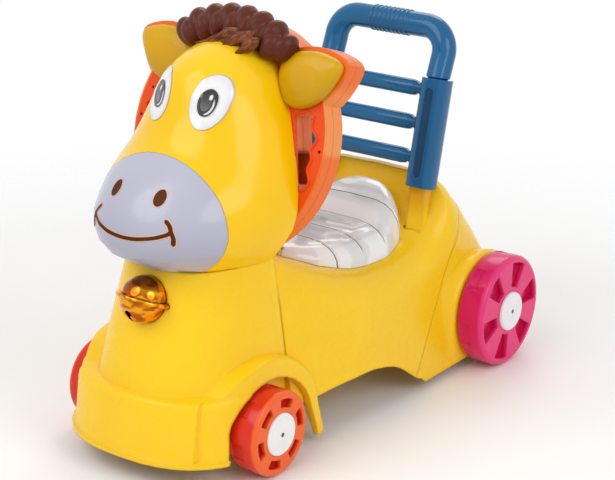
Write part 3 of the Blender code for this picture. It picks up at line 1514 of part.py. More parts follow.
def make_music_panel(head, materials):
    back = DISC_DEPTH + GAP
    panel = add_object("music_panel", rod_mesh("music_panel", PANEL_RADIUS, back,
                                               back + PANEL_DEPTH, axis=1, steps=32,
                                               radius_end=PANEL_RADIUS - 0.002),
                       materials["yellow"], head, (0, 0, PANEL_HEIGHT))
    for i, (x, u) in enumerate(button_places()):
        hole = rod_mesh(f"panel_button_hole_{i}", BUTTON_RADIUS + GAP, 0.02, 0.05, axis=1,
                        steps=16)
        cut(panel, add_object(f"panel_button_hole_{i}", hole, None, head, (x, 0, u)))
        add_button(i, x, u, materials[("red", "blue", "magenta")[i % 3]], head)
    x, u = speaker_place()
    for i in range(-2, 3):
        half = math.sqrt((SPEAKER_RADIUS - 0.004) ** 2 - (i * 0.005) ** 2)
        label = f"grille_{i + 3}"
        slot = box_mesh(label, (-half, 0.02, -0.0011), (half, 0.05, 0.0011))
        cut(panel, add_object(label, slot, None, head, (x, 0, u + i * 0.005)))
    speaker_back = DISC_DEPTH - WALL - GAP
    add_object("speaker", rod_mesh("speaker", SPEAKER_RADIUS, speaker_back - SPEAKER_DEPTH,
                                   speaker_back, axis=1, steps=28), materials["dark"], head,
               (x, 0, u))
    half_x, half_u = BOARD_HALF
    add_object("circuit_board", box_mesh("circuit_board", (-half_x, BOARD_DEPTH, -half_u),
                                         (half_x, BOARD_DEPTH + BOARD_THICKNESS, half_u)),
               materials["green"], head, (0, 0, BOARD_HEIGHT))
    make_battery(head, materials)
    make_switch(head, materials["dark"])


def make_switch(head, dark):
    """The slide switch: a knob in the shell's slot on a wider slider behind the wall."""
    half_x, half_u = SWITCH_HALF
    held = DISC_DEPTH - WALL - GAP
    knob = box_mesh("power_switch", (-half_x, held - 0.001, -half_u),
                    (half_x, DISC_DEPTH + 0.002, half_u))
    switch = add_object("power_switch", knob, dark, head, (0, 0, SWITCH_HEIGHT))
    wide = half_x + 2 * SWITCH_TRAVEL + 0.001
    slider = box_mesh("switch_slider", (-wide, held - 0.002, -half_u - 0.002),
                      (wide, held, half_u + 0.002))
    join(switch, add_object("switch_slider", slider, None, head, (0, 0, SWITCH_HEIGHT)))


def make_battery(head, materials):
    half_x, half_u = BATTERY_HALF
    inner = DISC_DEPTH - WALL - GAP
    tray = add_object("battery_box", box_mesh(
        "battery_box", (-half_x, 0.0045, BATTERY_HEIGHT - half_u),
        (half_x, inner, BATTERY_HEIGHT + half_u)), materials["dark"], head)
    label = "battery_room"
    cut(tray, add_object(label, box_mesh(
        label, (-half_x + 0.002, 0.0065, BATTERY_HEIGHT - half_u + 0.002),
        (half_x - 0.002, 0.05, BATTERY_HEIGHT + half_u - 0.002)), None, head))
    add_object("battery_door", box_mesh(
        "battery_door", (-half_x, DISC_DEPTH - 0.0016, BATTERY_HEIGHT - half_u),
        (half_x, DISC_DEPTH, BATTERY_HEIGHT + half_u)), materials["orange"], head)


def make_walker():
    clear_scene()
    walker = bpy.data.objects.new("walker_frame", None)
    walker.location = (0, FRONT_AXLE_Y, 0)
    head = bpy.data.objects.new("head_frame", None)
    head.parent = walker
    head.location = DISC_CENTRE
    head.rotation_euler = (-DISC_TILT, 0, 0)
    handle = bpy.data.objects.new("handle_frame", None)
    handle.parent = walker
    handle.location = (0, *HANDLE_FOOT)
    handle.rotation_euler = (-HANDLE_LEAN, 0, 0)
    for empty in (walker, head, handle):
        PARTS.objects.link(empty)
    materials = {
        "yellow": plastic("yellow plastic", (0.95, 0.60, 0.03)),
        "orange": plastic("orange plastic", (0.85, 0.11, 0.01)),
        "wheel_orange": plastic("wheel orange", (0.83, 0.09, 0.01)),
        "magenta": plastic("magenta plastic", (0.78, 0.02, 0.17)),
        "red": plastic("red plastic", (0.70, 0.02, 0.02)),
        "blue": plastic("blue plastic", (0.02, 0.16, 0.42), 0.3),
        "white": plastic("white plastic", (0.85, 0.85, 0.85)),
        "pale": plastic("pale lilac plastic", (0.62, 0.62, 0.72), 0.3),
        "seat": plastic("pale grey plastic", (0.75, 0.75, 0.76), 0.25),
        "dark": plastic("black plastic", (0.02, 0.02, 0.02)),
        "brown": plastic("brown plastic", (0.13, 0.03, 0.015), 0.4),
        "light_brown": plastic("light brown plastic", (0.22, 0.07, 0.03), 0.4),
        "amber": plastic("amber plastic", (0.75, 0.28, 0.01), 0.1, 0.0, 0.8),
        "steel": plastic("zinc-plated steel", (0.6, 0.6, 0.62), 0.3, 1.0),
        "grey": plastic("grey plastic", (0.3, 0.3, 0.3)),
        "green": plastic("circuit board", (0.02, 0.16, 0.05)),
    }
    make_front_body(walker, materials["yellow"])
    cut(bpy.data.objects["front_body"], tub_volume("tub_room", -2 * GAP, 0.0, None, walker))
    make_rear_body(walker, handle, materials["yellow"])
    make_rear_cover(walker, materials["yellow"])
    make_seat(walker, materials["seat"])
    make_hinge_pin(walker, materials["steel"])
    make_wheels(walker, materials["wheel_orange"], materials["magenta"], materials["white"],
                materials["steel"])
    make_face(walker, head, materials["yellow"], materials["pale"])
    make_eyes(head, materials["white"], materials["dark"])
    make_ears(head, materials["yellow"])
    make_mane(head, materials["brown"], materials["light_brown"])
    make_disc(walker, head, materials["orange"])
    make_head_mount(walker, materials["grey"])
    make_bell(walker, materials["amber"], materials["steel"])
    make_handle(handle, materials["blue"])
    make_music_panel(head, materials)


make_walker()
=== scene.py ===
"""Looks of the horse-headed baby walker, dressed over its packed assembly.

Metres, +Z up, floor at z = 0, the horse looking along -Y. Shells are welded copies of the
frame's solids. Wheels, hub caps, mane, forelock, eyes, print, bell, hoop and rungs are
modelled here.
"""

import json
import math
from functools import reduce

import bmesh
import bpy
from bpy.props import FloatProperty, FloatVectorProperty, IntProperty, PointerProperty
from mathutils import Euler, Matrix, Vector


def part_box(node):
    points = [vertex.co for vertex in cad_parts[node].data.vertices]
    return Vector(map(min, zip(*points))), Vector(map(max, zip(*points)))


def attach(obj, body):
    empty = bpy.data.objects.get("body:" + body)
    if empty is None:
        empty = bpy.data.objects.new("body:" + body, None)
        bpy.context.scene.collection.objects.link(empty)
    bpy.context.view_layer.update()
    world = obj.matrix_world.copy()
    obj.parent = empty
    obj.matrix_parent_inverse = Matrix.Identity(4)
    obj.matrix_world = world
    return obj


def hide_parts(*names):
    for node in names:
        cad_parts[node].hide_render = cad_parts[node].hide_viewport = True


bl_info = {
    "name": "Horse baby walker",
    "version": (1, 0, 0),
    "blender": (4, 5, 0),
    "location": "View3D > Sidebar > Walker",
    "description": "Dresses the packed walker with moulded plastic, wheels, mane, bell and face",
    "category": "Object",
}

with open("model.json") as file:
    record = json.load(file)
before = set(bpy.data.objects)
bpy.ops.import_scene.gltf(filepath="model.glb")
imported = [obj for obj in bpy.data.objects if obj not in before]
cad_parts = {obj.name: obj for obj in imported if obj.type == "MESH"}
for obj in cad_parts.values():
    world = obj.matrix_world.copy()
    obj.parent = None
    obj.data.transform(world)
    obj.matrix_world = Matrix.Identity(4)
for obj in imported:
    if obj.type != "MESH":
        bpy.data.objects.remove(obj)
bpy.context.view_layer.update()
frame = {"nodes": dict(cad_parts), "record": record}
FINISHES = {}
BODY_OF = {node: body for body, nodes in frame["record"]["behaviour"]["bodies"].items()
           for node in nodes}

# Places and sizes that several pieces or finishes share
HEAD_PLACE = (0.0, -0.090075, 0.3012)
HANDLE_PLACE = (0.0, 0.150125, 0.198)
HANDLE_HALF = 0.0695
PEG_HALF = 0.009
RUNGS, RUNG_FIRST, RUNG_PITCH = 3, 0.030, 0.0365
SEAT_GROOVES, GROOVE_FIRST, GROOVE_PITCH = 4, 0.0536, 0.04076
WHEEL_SIDES = 120
POCKET_PHASE = 0.30
EYE_HALVES = (0.0165, 0.0270)
PUPIL_HALVES = (0.0080, 0.0132)
PUPIL_SHIFT = 0.001
PRINT_THICKNESS = 0.00025
TOUCH = 1e-4


# Settings a user would change

def colour(label, note, value):
    return FloatVectorProperty(name=label, description=note, default=value, min=0, max=1,
                               subtype="COLOR", size=3)


def length(label, note, value):
    return FloatProperty(name=label, description=note, default=value, min=0, unit="LENGTH",
                         precision=4)


def angle_of(label, note, value):
    return FloatProperty(name=label, description=note, default=value, subtype="ANGLE")


class WalkerColours(bpy.types.PropertyGroup):
    body: colour("Body", "Yellow of the front body, tub and tail", (1.0, 0.64, 0.010))
    face: colour("Face", "Deeper yellow of the face shell", (1.0, 0.60, 0.0005))
    ear: colour("Ears", "Olive yellow of the ears", (0.72, 0.40, 0.0005))
    disc: colour("Disc", "Red-orange of the disc behind the face", (0.86, 0.075, 0.006))
    disc_rim: colour("Disc rim", "Lighter orange of the disc's edge", (0.90, 0.18, 0.014))
    muzzle: colour("Muzzle", "Pale lilac grey of the muzzle", (0.50, 0.50, 0.61))
    print_brown: colour("Print", "Brown of the nostrils and the mouth", (0.095, 0.026, 0.005))
    print_edge: colour("Print edge", "Pale orange outline of the print", (0.83, 0.52, 0.36))
    mane: colour("Mane", "Dark brown of the curls", (0.125, 0.024, 0.010))
    forelock: colour("Forelock", "Lighter brown of the forelock", (0.27, 0.080, 0.030))
    seat: colour("Seat", "White grey of the seat lid", (0.88, 0.88, 0.89))
    front_wheel: colour("Front wheels", "Red-orange of the front wheels", (0.72, 0.024, 0.009))
    rear_wheel: colour("Rear wheels", "Magenta of the rear wheels", (0.76, 0.010, 0.145))
    white: colour("White", "White of the caps and eyes", (0.88, 0.88, 0.88))
    handle: colour("Handle", "Blue of the push handle", (0.003, 0.125, 0.31))
    bell: colour("Bell", "Amber gold of the bell", (0.90, 0.36, 0.010))


class WalkerSizes(bpy.types.PropertyGroup):
    head_tilt: angle_of("Head tilt", "How far the head leans back", 0.31)
    handle_tilt: angle_of("Handle lean", "How far the handle leans back", 0.25)
    bell_pitch: angle_of("Bell pitch", "How far the bell leans back", -0.37)
    bell_roll: angle_of("Bell roll", "How far the bell hangs to one side", 0.073)
    pockets: IntProperty(name="Wheel pockets", description="Recesses in each wheel's face",
                         default=6, min=3, max=12)
    curls: IntProperty(name="Curls", description="Curls across the crest of the mane",
                       default=8, min=3, max=12)
    curl: length("Curl radius", "Radius of one curl of the mane", 0.0155)
    locks: IntProperty(name="Locks", description="Pointed locks of the forelock", default=7,
                       min=3, max=15)
    eye_x: length("Eye distance", "Distance of each eye from the middle", 0.0293)
    eye_z: length("Eye height", "Height of the eyes above the disc's middle", 0.030)
    eye_lean: angle_of("Eye lean", "How far the eyes' tops lean outwards", 0.09)
    rounding: length("Edge rounding", "Radius that moulded edges are rounded to", 0.0014)


class WalkerStage(bpy.types.PropertyGroup):
    lens: FloatProperty(name="Lens", description="Focal length of the camera, in mm",
                        default=108.37)
    camera: FloatVectorProperty(name="Camera", description="Where the camera stands",
                                default=(1.08535, -1.426515, 0.81352), subtype="TRANSLATION")
    aim: FloatVectorProperty(name="Aim", description="The way the camera looks",
                             default=(-0.55921, 0.75637, -0.33940), subtype="DIRECTION")
    key: FloatProperty(name="Key lamp", description="Power of the soft lamp", default=20.0,
                       subtype="POWER")
    sky: FloatProperty(name="Sky", description="Strength of the white surroundings",
                       default=0.62, min=0)


def sizes():
    return bpy.context.scene.walker_sizes


def colours():
    return bpy.context.scene.walker_colours


# Shader maths

class Field:
    """One socket of a material, so that shader maths reads as arithmetic."""

    def __init__(self, finish, socket):
        self.finish = finish
        self.socket = socket

    def maths(self, operation, first, second):
        return self.finish.node("ShaderNodeMath", {"operation": operation},
                                {0: first, 1: second})

    def __add__(self, other):
        return self.maths("ADD", self, other)

    def __sub__(self, other):
        return self.maths("SUBTRACT", self, other)

    def __rsub__(self, other):
        return self.maths("SUBTRACT", other, self)

    def __mul__(self, other):
        return self.maths("MULTIPLY", self, other)

    def __truediv__(self, other):
        return self.maths("DIVIDE", self, other)

    def __pow__(self, other):
        return self.maths("POWER", self, other)

    def __abs__(self):
        return self.finish.node("ShaderNodeMath", {"operation": "ABSOLUTE"}, {0: self})

    def above(self, other):
        return self.maths("MAXIMUM", self, other)

    def below(self, other):
        return self.maths("MINIMUM", self, other)

    __radd__ = __add__
    __rmul__ = __mul__


def away(first, second):
    """Distance from where both fields are 0."""
    return (first * first + second * second) ** 0.5


class Finish:
    """One material, built node by node round a Principled shader."""

    def __init__(self, name):
        self.material = bpy.data.materials.new(name)
        self.material.use_nodes = True
        self.tree = self.material.node_tree
        self.tree.nodes.clear()
        self.place = self.node("ShaderNodeTexCoord", result="Object")

    def node(self, kind, settings=None, values=None, result=0):
        made = self.tree.nodes.new(kind)
        for key, value in (settings or {}).items():
            if key == "stops":
                ramp = made.color_ramp
                while len(ramp.elements) < len(value):
                    ramp.elements.new(0.5)
                for element, (where, shade) in zip(ramp.elements, value):
                    element.position = where
                    element.color = (*shade, 1.0)
            else:
                setattr(made, key, value)
        for key, value in (values or {}).items():
            if isinstance(value, Field):
                self.tree.links.new(value.socket, made.inputs[key])
            else:
                made.inputs[key].default_value = value
        return Field(self, made.outputs[result])

    def noise(self, size, detail=2.0, place=None, stretch=None):
        """Noise whose blobs are about size across, in metres."""
        where = place or self.place
        if stretch:
            where = self.node("ShaderNodeMapping", None, {"Vector": where, "Scale": stretch})
        return self.node("ShaderNodeTexNoise", None, {"Vector": where, "Scale": 1 / size,
                                                      "Detail": detail})

    def mix(self, share, first, second):
        """A colour between two, by share."""
        def four(value):
            return value if isinstance(value, Field) else (*value, 1.0)
        return self.node("ShaderNodeMix", {"data_type": "RGBA"},
                         {0: share, 6: four(first), 7: four(second)}, 2)

    def step(self, value, low, high):
        """0 below low, 1 above high, smooth between."""
        return self.node("ShaderNodeMapRange", {"interpolation_type": "SMOOTHSTEP"},
                         {"Value": value, "From Min": low, "From Max": high})

    def within(self, value, low, high):
        """1 below low, 0 above high, smooth between."""
        return 1 - self.step(value, low, high)

    def axes(self, place=None):
        """The X, Y and Z of a place as three fields."""
        made = self.tree.nodes.new("ShaderNodeSeparateXYZ")
        self.tree.links.new((place or self.place).socket, made.inputs[0])
        return tuple(Field(self, made.outputs[i]) for i in range(3))

    def local(self, matrix):
        """Object coordinates seen from a frame with that world matrix."""
        inverse = matrix.inverted()
        return self.node("ShaderNodeMapping", {"vector_type": "POINT"},
                         {"Vector": self.place, "Location": inverse.to_translation(),
                          "Rotation": inverse.to_euler()})

    def surface(self, name, **values):
        """Closes the material with a Principled shader, and keeps it under its name."""
        shader = self.node("ShaderNodeBsdfPrincipled", None,
                           {key.replace("_", " "): value for key, value in values.items()})
        output = self.tree.nodes.new("ShaderNodeOutputMaterial")
        self.tree.links.new(shader.socket, output.inputs["Surface"])
        FINISHES[name] = self.material
        return self.material

    def sign(self, value):
        return self.node("ShaderNodeMath", {"operation": "SIGN"}, {0: value})

    def oval(self, x, z, half_x, half_z, lean=0.0):
        """1 on an oval's edge and 0 at its middle, for x and z measured from its middle."""
        across = (x * math.cos(lean) - z * math.sin(lean)) / half_x
        along = (x * math.sin(lean) + z * math.cos(lean)) / half_z
        return away(across, along)


def rounded(finish, height, strength, depth, radius=None):
    """Normals with the edges rounded and a fine relief on top."""
    edge = finish.node("ShaderNodeBevel", {"samples": 6},
                       {"Radius": sizes().rounding if radius is None else radius})
    return finish.node("ShaderNodeBump", None, {"Height": height, "Strength": strength,
                                                "Distance": depth, "Normal": edge})


def darker(shade, share):
    return tuple(value * share for value in shade)


def moulded(name, base, roughness=0.34, coat=0.15, drift=0.90, grain=0.03, paint=None,
            radius=None, sheen=0.30):
    """Moulded plastic: slow drift of colour, fine grain, faint handling marks."""
    finish = Finish(name)
    slow = finish.noise(0.09, 2.0)
    shade = finish.mix(finish.step(slow, 0.35, 0.65), darker(base, drift), tuple(base))
    if paint:
        shade = paint(finish, shade)
    fine = finish.noise(0.0011, 2.0)
    marks = finish.step(finish.noise(0.004, 5.0, stretch=(1.0, 0.16, 0.5)), 0.56, 0.74)
    rough = finish.noise(0.02, 3.0) * 0.10 + marks * 0.06 + (roughness - 0.05)
    normal = rounded(finish, fine * 0.6 + marks * -0.2, grain, 0.0004, radius)
    return finish.surface(name, Base_Color=shade, Roughness=rough, Normal=normal,
                          Coat_Weight=coat, Coat_Roughness=0.08, IOR=1.46,
                          Specular_IOR_Level=sheen)


# Modelling helpers

def head_matrix():
    """The head's frame: local XZ is the disc's front face, local -Y looks forward."""
    return Matrix.Translation(HEAD_PLACE) @ Matrix.Rotation(-sizes().head_tilt, 4, "X")


def handle_matrix():
    """The handle's frame: local Z runs up the sleeves from their foot."""
    return Matrix.Translation(HANDLE_PLACE) @ Matrix.Rotation(-sizes().handle_tilt, 4, "X")


def only(piece):
    bpy.ops.object.select_all(action="DESELECT")
    piece.select_set(True)
    bpy.context.view_layer.objects.active = piece


def start(kind, name, **values):
    """Adds a primitive, applies its place and leaves it in edit mode with all selected."""
    bpy.ops.object.select_all(action="DESELECT")
    getattr(bpy.ops.mesh, f"primitive_{kind}_add")(**values)
    piece = bpy.context.object
    piece.name = name
    piece.data.name = name
    bpy.ops.object.transform_apply(location=True, rotation=True, scale=True)
    bpy.ops.object.mode_set(mode="EDIT")
    bpy.ops.mesh.select_all(action="SELECT")
    return piece


def choose(piece, test, what="faces"):
    """Selects the faces, edges or points of the mesh in edit mode that pass the test."""
    bm = bmesh.from_edit_mesh(piece.data)
    bm.select_mode = {{"faces": "FACE", "edges": "EDGE", "verts": "VERT"}[what]}
    for group in (bm.verts, bm.edges, bm.faces):
        for item in group:
            item.select_set(False)
    found = [item for item in getattr(bm, what) if test(item)]
    for item in found:
        item.select_set(True)
    bm.select_flush_mode()
    bmesh.update_edit_mesh(piece.data)
    if not found:
        raise RuntimeError(f"{piece.name}: no {what} pass the test")


def inset(thickness, depth=0.0):
    bpy.ops.mesh.inset(thickness=thickness, depth=depth, use_even_offset=True)


def push(x=0.0, y=0.0, z=0.0):
    """Extrudes what is selected by that much."""
    bpy.ops.mesh.extrude_region_move(TRANSFORM_OT_translate={"value": (x, y, z)})


def resize(x, y, z, middle):
    bpy.ops.transform.resize(value=(x, y, z), center_override=middle)


def object_mode():
    if bpy.context.mode != "OBJECT":
        bpy.ops.object.mode_set(mode="OBJECT")


def edit_all(piece):
    """Opens a mesh in edit mode with all of it selected."""
    object_mode()
    only(piece)
    bpy.ops.object.mode_set(mode="EDIT")
    bpy.ops.mesh.select_all(action="SELECT")


def apply(piece, kind, **values):
    """Adds a modifier and applies it."""
    object_mode()
    only(piece)
    modifier = piece.modifiers.new(kind.lower(), kind)
    for key, value in values.items():
        setattr(modifier, key, value)
    bpy.ops.object.modifier_apply(modifier=modifier.name)
    return piece


def cut(piece, cutter):
    """Takes the cutter's space out of a piece and removes the cutter."""
    apply(piece, "BOOLEAN", operation="DIFFERENCE", object=cutter, solver="EXACT")
    bpy.data.objects.remove(cutter)


def melted(piece, grid, rounds):
    """Rebuilds a mesh on a fine grid and smooths it, so that its edges and joins run soft."""
    apply(piece, "REMESH", mode="VOXEL", voxel_size=grid)
    return apply(piece, "SMOOTH", factor=0.5, iterations=rounds)


def outwards(piece):
    """Merges doubles and turns every face outwards."""
    edit_all(piece)
    bpy.ops.mesh.remove_doubles(threshold=0.000005)
    bpy.ops.mesh.normals_make_consistent(inside=False)
    object_mode()
    return piece


def settle(piece, matrix):
    """Moves a piece modelled in a local frame to its place and applies that."""
    object_mode()
    only(piece)
    piece.matrix_world = matrix
    bpy.ops.object.transform_apply(location=True, rotation=True, scale=True)
    return piece


def copy_of(piece, name):
    """A copy of a piece with a mesh of its own."""
    object_mode()
    other = bpy.data.objects.new(name, piece.data.copy())
    other.data.name = name
    bpy.context.scene.collection.objects.link(other)
    return other


def mirrored(piece, name):
    """The piece as seen in the object's plane of symmetry."""
    other = copy_of(piece, name)
    edit_all(other)
    bpy.ops.transform.mirror(orient_type="GLOBAL", constraint_axis=(True, False, False),
                             center_override=(0, 0, 0))
    bpy.ops.mesh.flip_normals()
    object_mode()
    return other


def join(first, *others):
    object_mode()
    bpy.ops.object.select_all(action="DESELECT")
    for piece in (first, *others):
        piece.select_set(True)
    bpy.context.view_layer.objects.active = first
    bpy.ops.object.join()
    return first


def done(piece, finish, node, angle=40):
    """Smooths a piece, gives it its material and puts it in its node's place."""
    object_mode()
    only(piece)
    bpy.ops.object.shade_smooth_by_angle(angle=math.radians(angle))
    piece.data.materials.clear()
    piece.data.materials.append(FINISHES[finish])
    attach(piece, BODY_OF[node])
    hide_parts(node)
    return piece


def welded(node, name):
    """A welded copy of one of the frame's solids."""
    piece = copy_of(frame["nodes"][node], name)
    only(piece)
    bpy.ops.mesh.customdata_custom_splitnormals_clear()
    edit_all(piece)
    bpy.ops.mesh.remove_doubles(threshold=0.00001)
    object_mode()
    return piece


def shell(node, finish, angle=35):
    """A moulding with its solid's own shape, smoothed where its faces only approach a curve."""
    return done(welded(node, node + "_moulding"), finish, node, angle=angle)


def radial(vector):
    """Distance from the X axis."""
    return math.hypot(vector.y, vector.z)


# Operators

class WALKER_OT_finishes(bpy.types.Operator):
    """Makes the materials of every piece"""
    bl_idname = "walker.finishes"
    bl_label = "Finishes"

    def execute(self, context):
        tint = colours()
        head = head_matrix()

        def rim(finish, shade):
            """Lighter orange on the disc's edge and back, with a painted reflection as a pale
            band beside the eyes.
            """
            x, y, z = finish.axes(finish.local(head))
            outer = finish.step(away(x, z), 0.1130, 0.1160)
            back = finish.step(y, 0.001, 0.004)
            # Painted reflection: a paler band on the disc's edge at the eyes' height
            pale = finish.step(z, -0.004, 0.004) * finish.step(z, 0.070, 0.050)
            edge = finish.mix(pale * 0.5, tuple(tint.disc_rim), (0.98, 0.50, 0.14))
            return finish.mix(finish.step(outer + back, 0.2, 1.0) * 0.85, shade, edge)

        def seat_lines(finish, shade):
            """Dark lines down in the seat's grooves, painted shade with some dirt, over darker
            grey patches of painted reflection.
            """
            x, y, z = finish.axes()
            # The dark groove lines: painted shade in the grooves, with dirt
            line = reduce(Field.above, [finish.within(abs(y - groove_y(i)), 0.0005, 0.0012)
                                        for i in range(SEAT_GROOVES)])
            # Darker grey patches: painted reflections on the glossy lid
            painted_reflections = finish.noise(0.05, 1.0, stretch=(0.5, 1.3, 1.0))
            shade = finish.mix(finish.step(painted_reflections, 0.50, 0.57) * 0.40, shade,
                               darker(tint.seat, 0.62))
            top = finish.step(z, 0.128, 0.133) * finish.within(abs(x), 0.0715, 0.0745)
            return finish.mix(line * top, shade, (0.035, 0.035, 0.04))

        def low_shade(finish, shade):
            """Painted shade: a deeper yellow towards the foot, and orange on the two handle pegs
            beneath the sleeves.
            """
            red, green, blue = tint.body
            height = finish.axes()[2]
            # Painted shade: a deeper yellow towards the foot
            shade = finish.mix(finish.step(height, 0.16, 0.02) * 0.30, shade,
                               (red * 0.90, green * 0.78, blue * 0.7))
            x, y, z = finish.axes(finish.local(handle_matrix()))
            inside, beyond = 0.0091, 0.0096
            across = finish.within(abs(abs(x) - HANDLE_HALF), inside, beyond)
            deep = finish.within(abs(y), inside, beyond)
            along = finish.step(z, -0.040, -0.006) * finish.step(z, 0.024, 0.022)
            # Painted shade: orange on the pegs, where the sleeves shade them
            return finish.mix(across * deep * along * 0.6, shade, (0.72, 0.27, 0.010))

        def strands(finish, shade):
            """Fine dark strands that run along the locks."""
            place = finish.local(head @ Matrix.Rotation(0.95, 4, "Y"))
            fine = finish.noise(0.003, 3.0, place, (1.0, 1.0, 0.10))
            return finish.mix(finish.step(fine, 0.42, 0.60), shade, darker(tint.forelock, 0.40))

        def shaded(start, full, strength, tone):
            """A paint that mixes in a tone between two heights in the head's frame, for painted
            light and shade.
            """
            def paint(finish, shade):
                height = finish.axes(finish.local(head))[2]
                return finish.mix(finish.step(height, start, full) * strength, shade, tone)
            return paint

        def hollow(finish, shade):
            """A small shadow in the dimple at each hub's middle."""
            _, y, z = finish.axes()
            middles = [sum(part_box(end + "_hub_cap_left"), Vector()) / 2
                       for end in ("front", "rear")]
            near = reduce(Field.below, [away(y - middle.y, z - middle.z) for middle in middles])
            return finish.mix(finish.within(near, 0.0019, 0.0027), shade, (0.10, 0.11, 0.13))

        def recess_shade(finish, shade):
            """Painted shade, darker down in the long recess of each sleeve."""
            x, y, z = finish.axes(finish.local(handle_matrix()))
            across = finish.within(abs(abs(x) - HANDLE_HALF), 0.0042, 0.0052)
            inside = finish.step(0.0131 - abs(y), 0.0, 0.0006)
            along = finish.step(z, 0.0100, 0.0112) * finish.step(z, 0.106, 0.1048)
            return finish.mix(across * along * inside * 0.75, shade, darker(tint.handle, 0.40))

        # brow: painted highlight, a lighter yellow on the face above the eyes
        brow = shaded(0.03, 0.09, 0.35, (1.0, 0.68, 0.03))
        # ear_shade: painted shade, darker towards the foot of each ear
        ear_shade = shaded(0.085, 0.045, 0.45, darker(tint.ear, 0.62))
        # lilac: painted shade, the muzzle darker towards its foot
        lilac = shaded(-0.06, -0.12, 0.5, darker(tint.muzzle, 0.80))
        # Each line gives the roughness, the coat, the drift of colour and the grain, in order
        moulded("body", tint.body, 0.27, 0.10, 0.95, 0.015, paint=low_shade, radius=0.0035)
        moulded("face", tint.face, 0.20, 0.15, 0.95, 0.01, paint=brow)
        moulded("ear", tint.ear, 0.28, 0.05, 0.88, paint=ear_shade)
        moulded("disc", tint.disc, 0.28, 0.05, 0.92, paint=rim)
        moulded("muzzle", tint.muzzle, 0.20, 0.20, 0.95, 0.01, paint=lilac)
        moulded("print_brown", tint.print_brown, 0.40, 0.0, 0.8, radius=0.0003, sheen=0.1)
        moulded("print_edge", tint.print_edge, 0.35, 0.0, 0.9, radius=0.0003, sheen=0.1)
        moulded("mane", tint.mane, 0.33, 0.0, 0.75, 0.04, sheen=0.22)
        moulded("forelock", tint.forelock, 0.36, 0.0, 0.8, 0.04, paint=strands, sheen=0.2)
        moulded("seat", tint.seat, 0.12, 0.70, 0.97, 0.01, paint=seat_lines)
        for end in ("front", "rear"):
            moulded(end + "_wheel", getattr(tint, end + "_wheel"), 0.19, 0.08, 0.90, 0.015,
                    paint=self.wheel_tones(end))
        moulded("white", tint.white, 0.22, 0.30, 0.97, 0.01)
        moulded("cap", tint.white, 0.22, 0.30, 0.97, 0.01, paint=hollow)
        moulded("handle", tint.handle, 0.11, 0.20, 0.85, 0.010, paint=recess_shade)
        moulded("red", (0.70, 0.02, 0.02), 0.25, 0.4)
        moulded("black", (0.015, 0.015, 0.017), 0.4, 0.1, 0.7)
        moulded("grey", (0.30, 0.30, 0.30), 0.45, 0.0)
        moulded("board", (0.02, 0.16, 0.05), 0.35, 0.2)
        self.gold()
        self.steel()
        self.pupil(head)
        self.eye_white(head)
        return {"FINISHED"}

    def wheel_tones(self, end):
        """A lighter outer face as painted light and deeper pockets as painted shade, told apart
        by where they stand.
        """
        low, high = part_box(end + "_wheel_left")
        middle, radius = (low + high) / 2, (high.z - low.z) / 2
        outer = high.x
        # light is painted light on the outer face, deep is painted shade in the pockets
        light, deep = {"front": ((0.93, 0.155, 0.022), (0.66, 0.018, 0.008)),
                       "rear": ((0.82, 0.040, 0.20), (0.62, 0.004, 0.085))}[end]

        def paint(finish, shade):
            x, y, z = finish.axes()
            depth = outer - abs(x)
            face = finish.within(depth, 0.0015, 0.0055)
            shade = finish.mix(face * 0.8, shade, light)
            inside = finish.within(away(y - middle.y, z - middle.z), radius - 0.0055,
                                   radius - 0.0045)
            pocket = finish.step(depth, 0.0025, 0.0060) * inside
            return finish.mix(pocket, shade, deep)
        return paint

    def gold(self):
        """Plated amber plastic: warm, mirror-like, with painted shade at its crown and painted
        reflections as darker streaks.
        """
        finish = Finish("bell")
        z = finish.axes()[2]
        # Darker streaks: painted reflections
        slow = finish.noise(0.011, 1.0, stretch=(1.0, 1.0, 1.6))
        shade = finish.mix(finish.step(slow, 0.40, 0.58), tuple(colours().bell),
                           (0.42, 0.10, 0.003))
        # Painted shade: darker towards the crown
        shade = finish.mix(finish.step(z, 0.181, 0.192) * 0.75, shade, (0.16, 0.035, 0.002))
        rough = finish.noise(0.003, 3.0) * 0.06 + 0.08
        finish.surface("bell", Base_Color=shade, Metallic=0.95, Roughness=rough,
                       Coat_Weight=0.12, Coat_Roughness=0.03,
                       Normal=rounded(finish, slow, 0.1, 0.0006, 0.0006))

    def steel(self):
        """Zinc-plated steel with fine turning lines."""
        finish = Finish("steel")
        lines = finish.noise(0.0004, 2.0, stretch=(6.0, 1.0, 1.0))
        shade = finish.mix(finish.step(finish.noise(0.004, 3.0), 0.4, 0.7), (0.62, 0.62, 0.64),
                           (0.50, 0.50, 0.50))
        finish.surface("steel", Base_Color=shade, Metallic=1.0, Roughness=lines * 0.2 + 0.2,
                       Normal=rounded(finish, lines, 0.1, 0.0002, 0.0003))

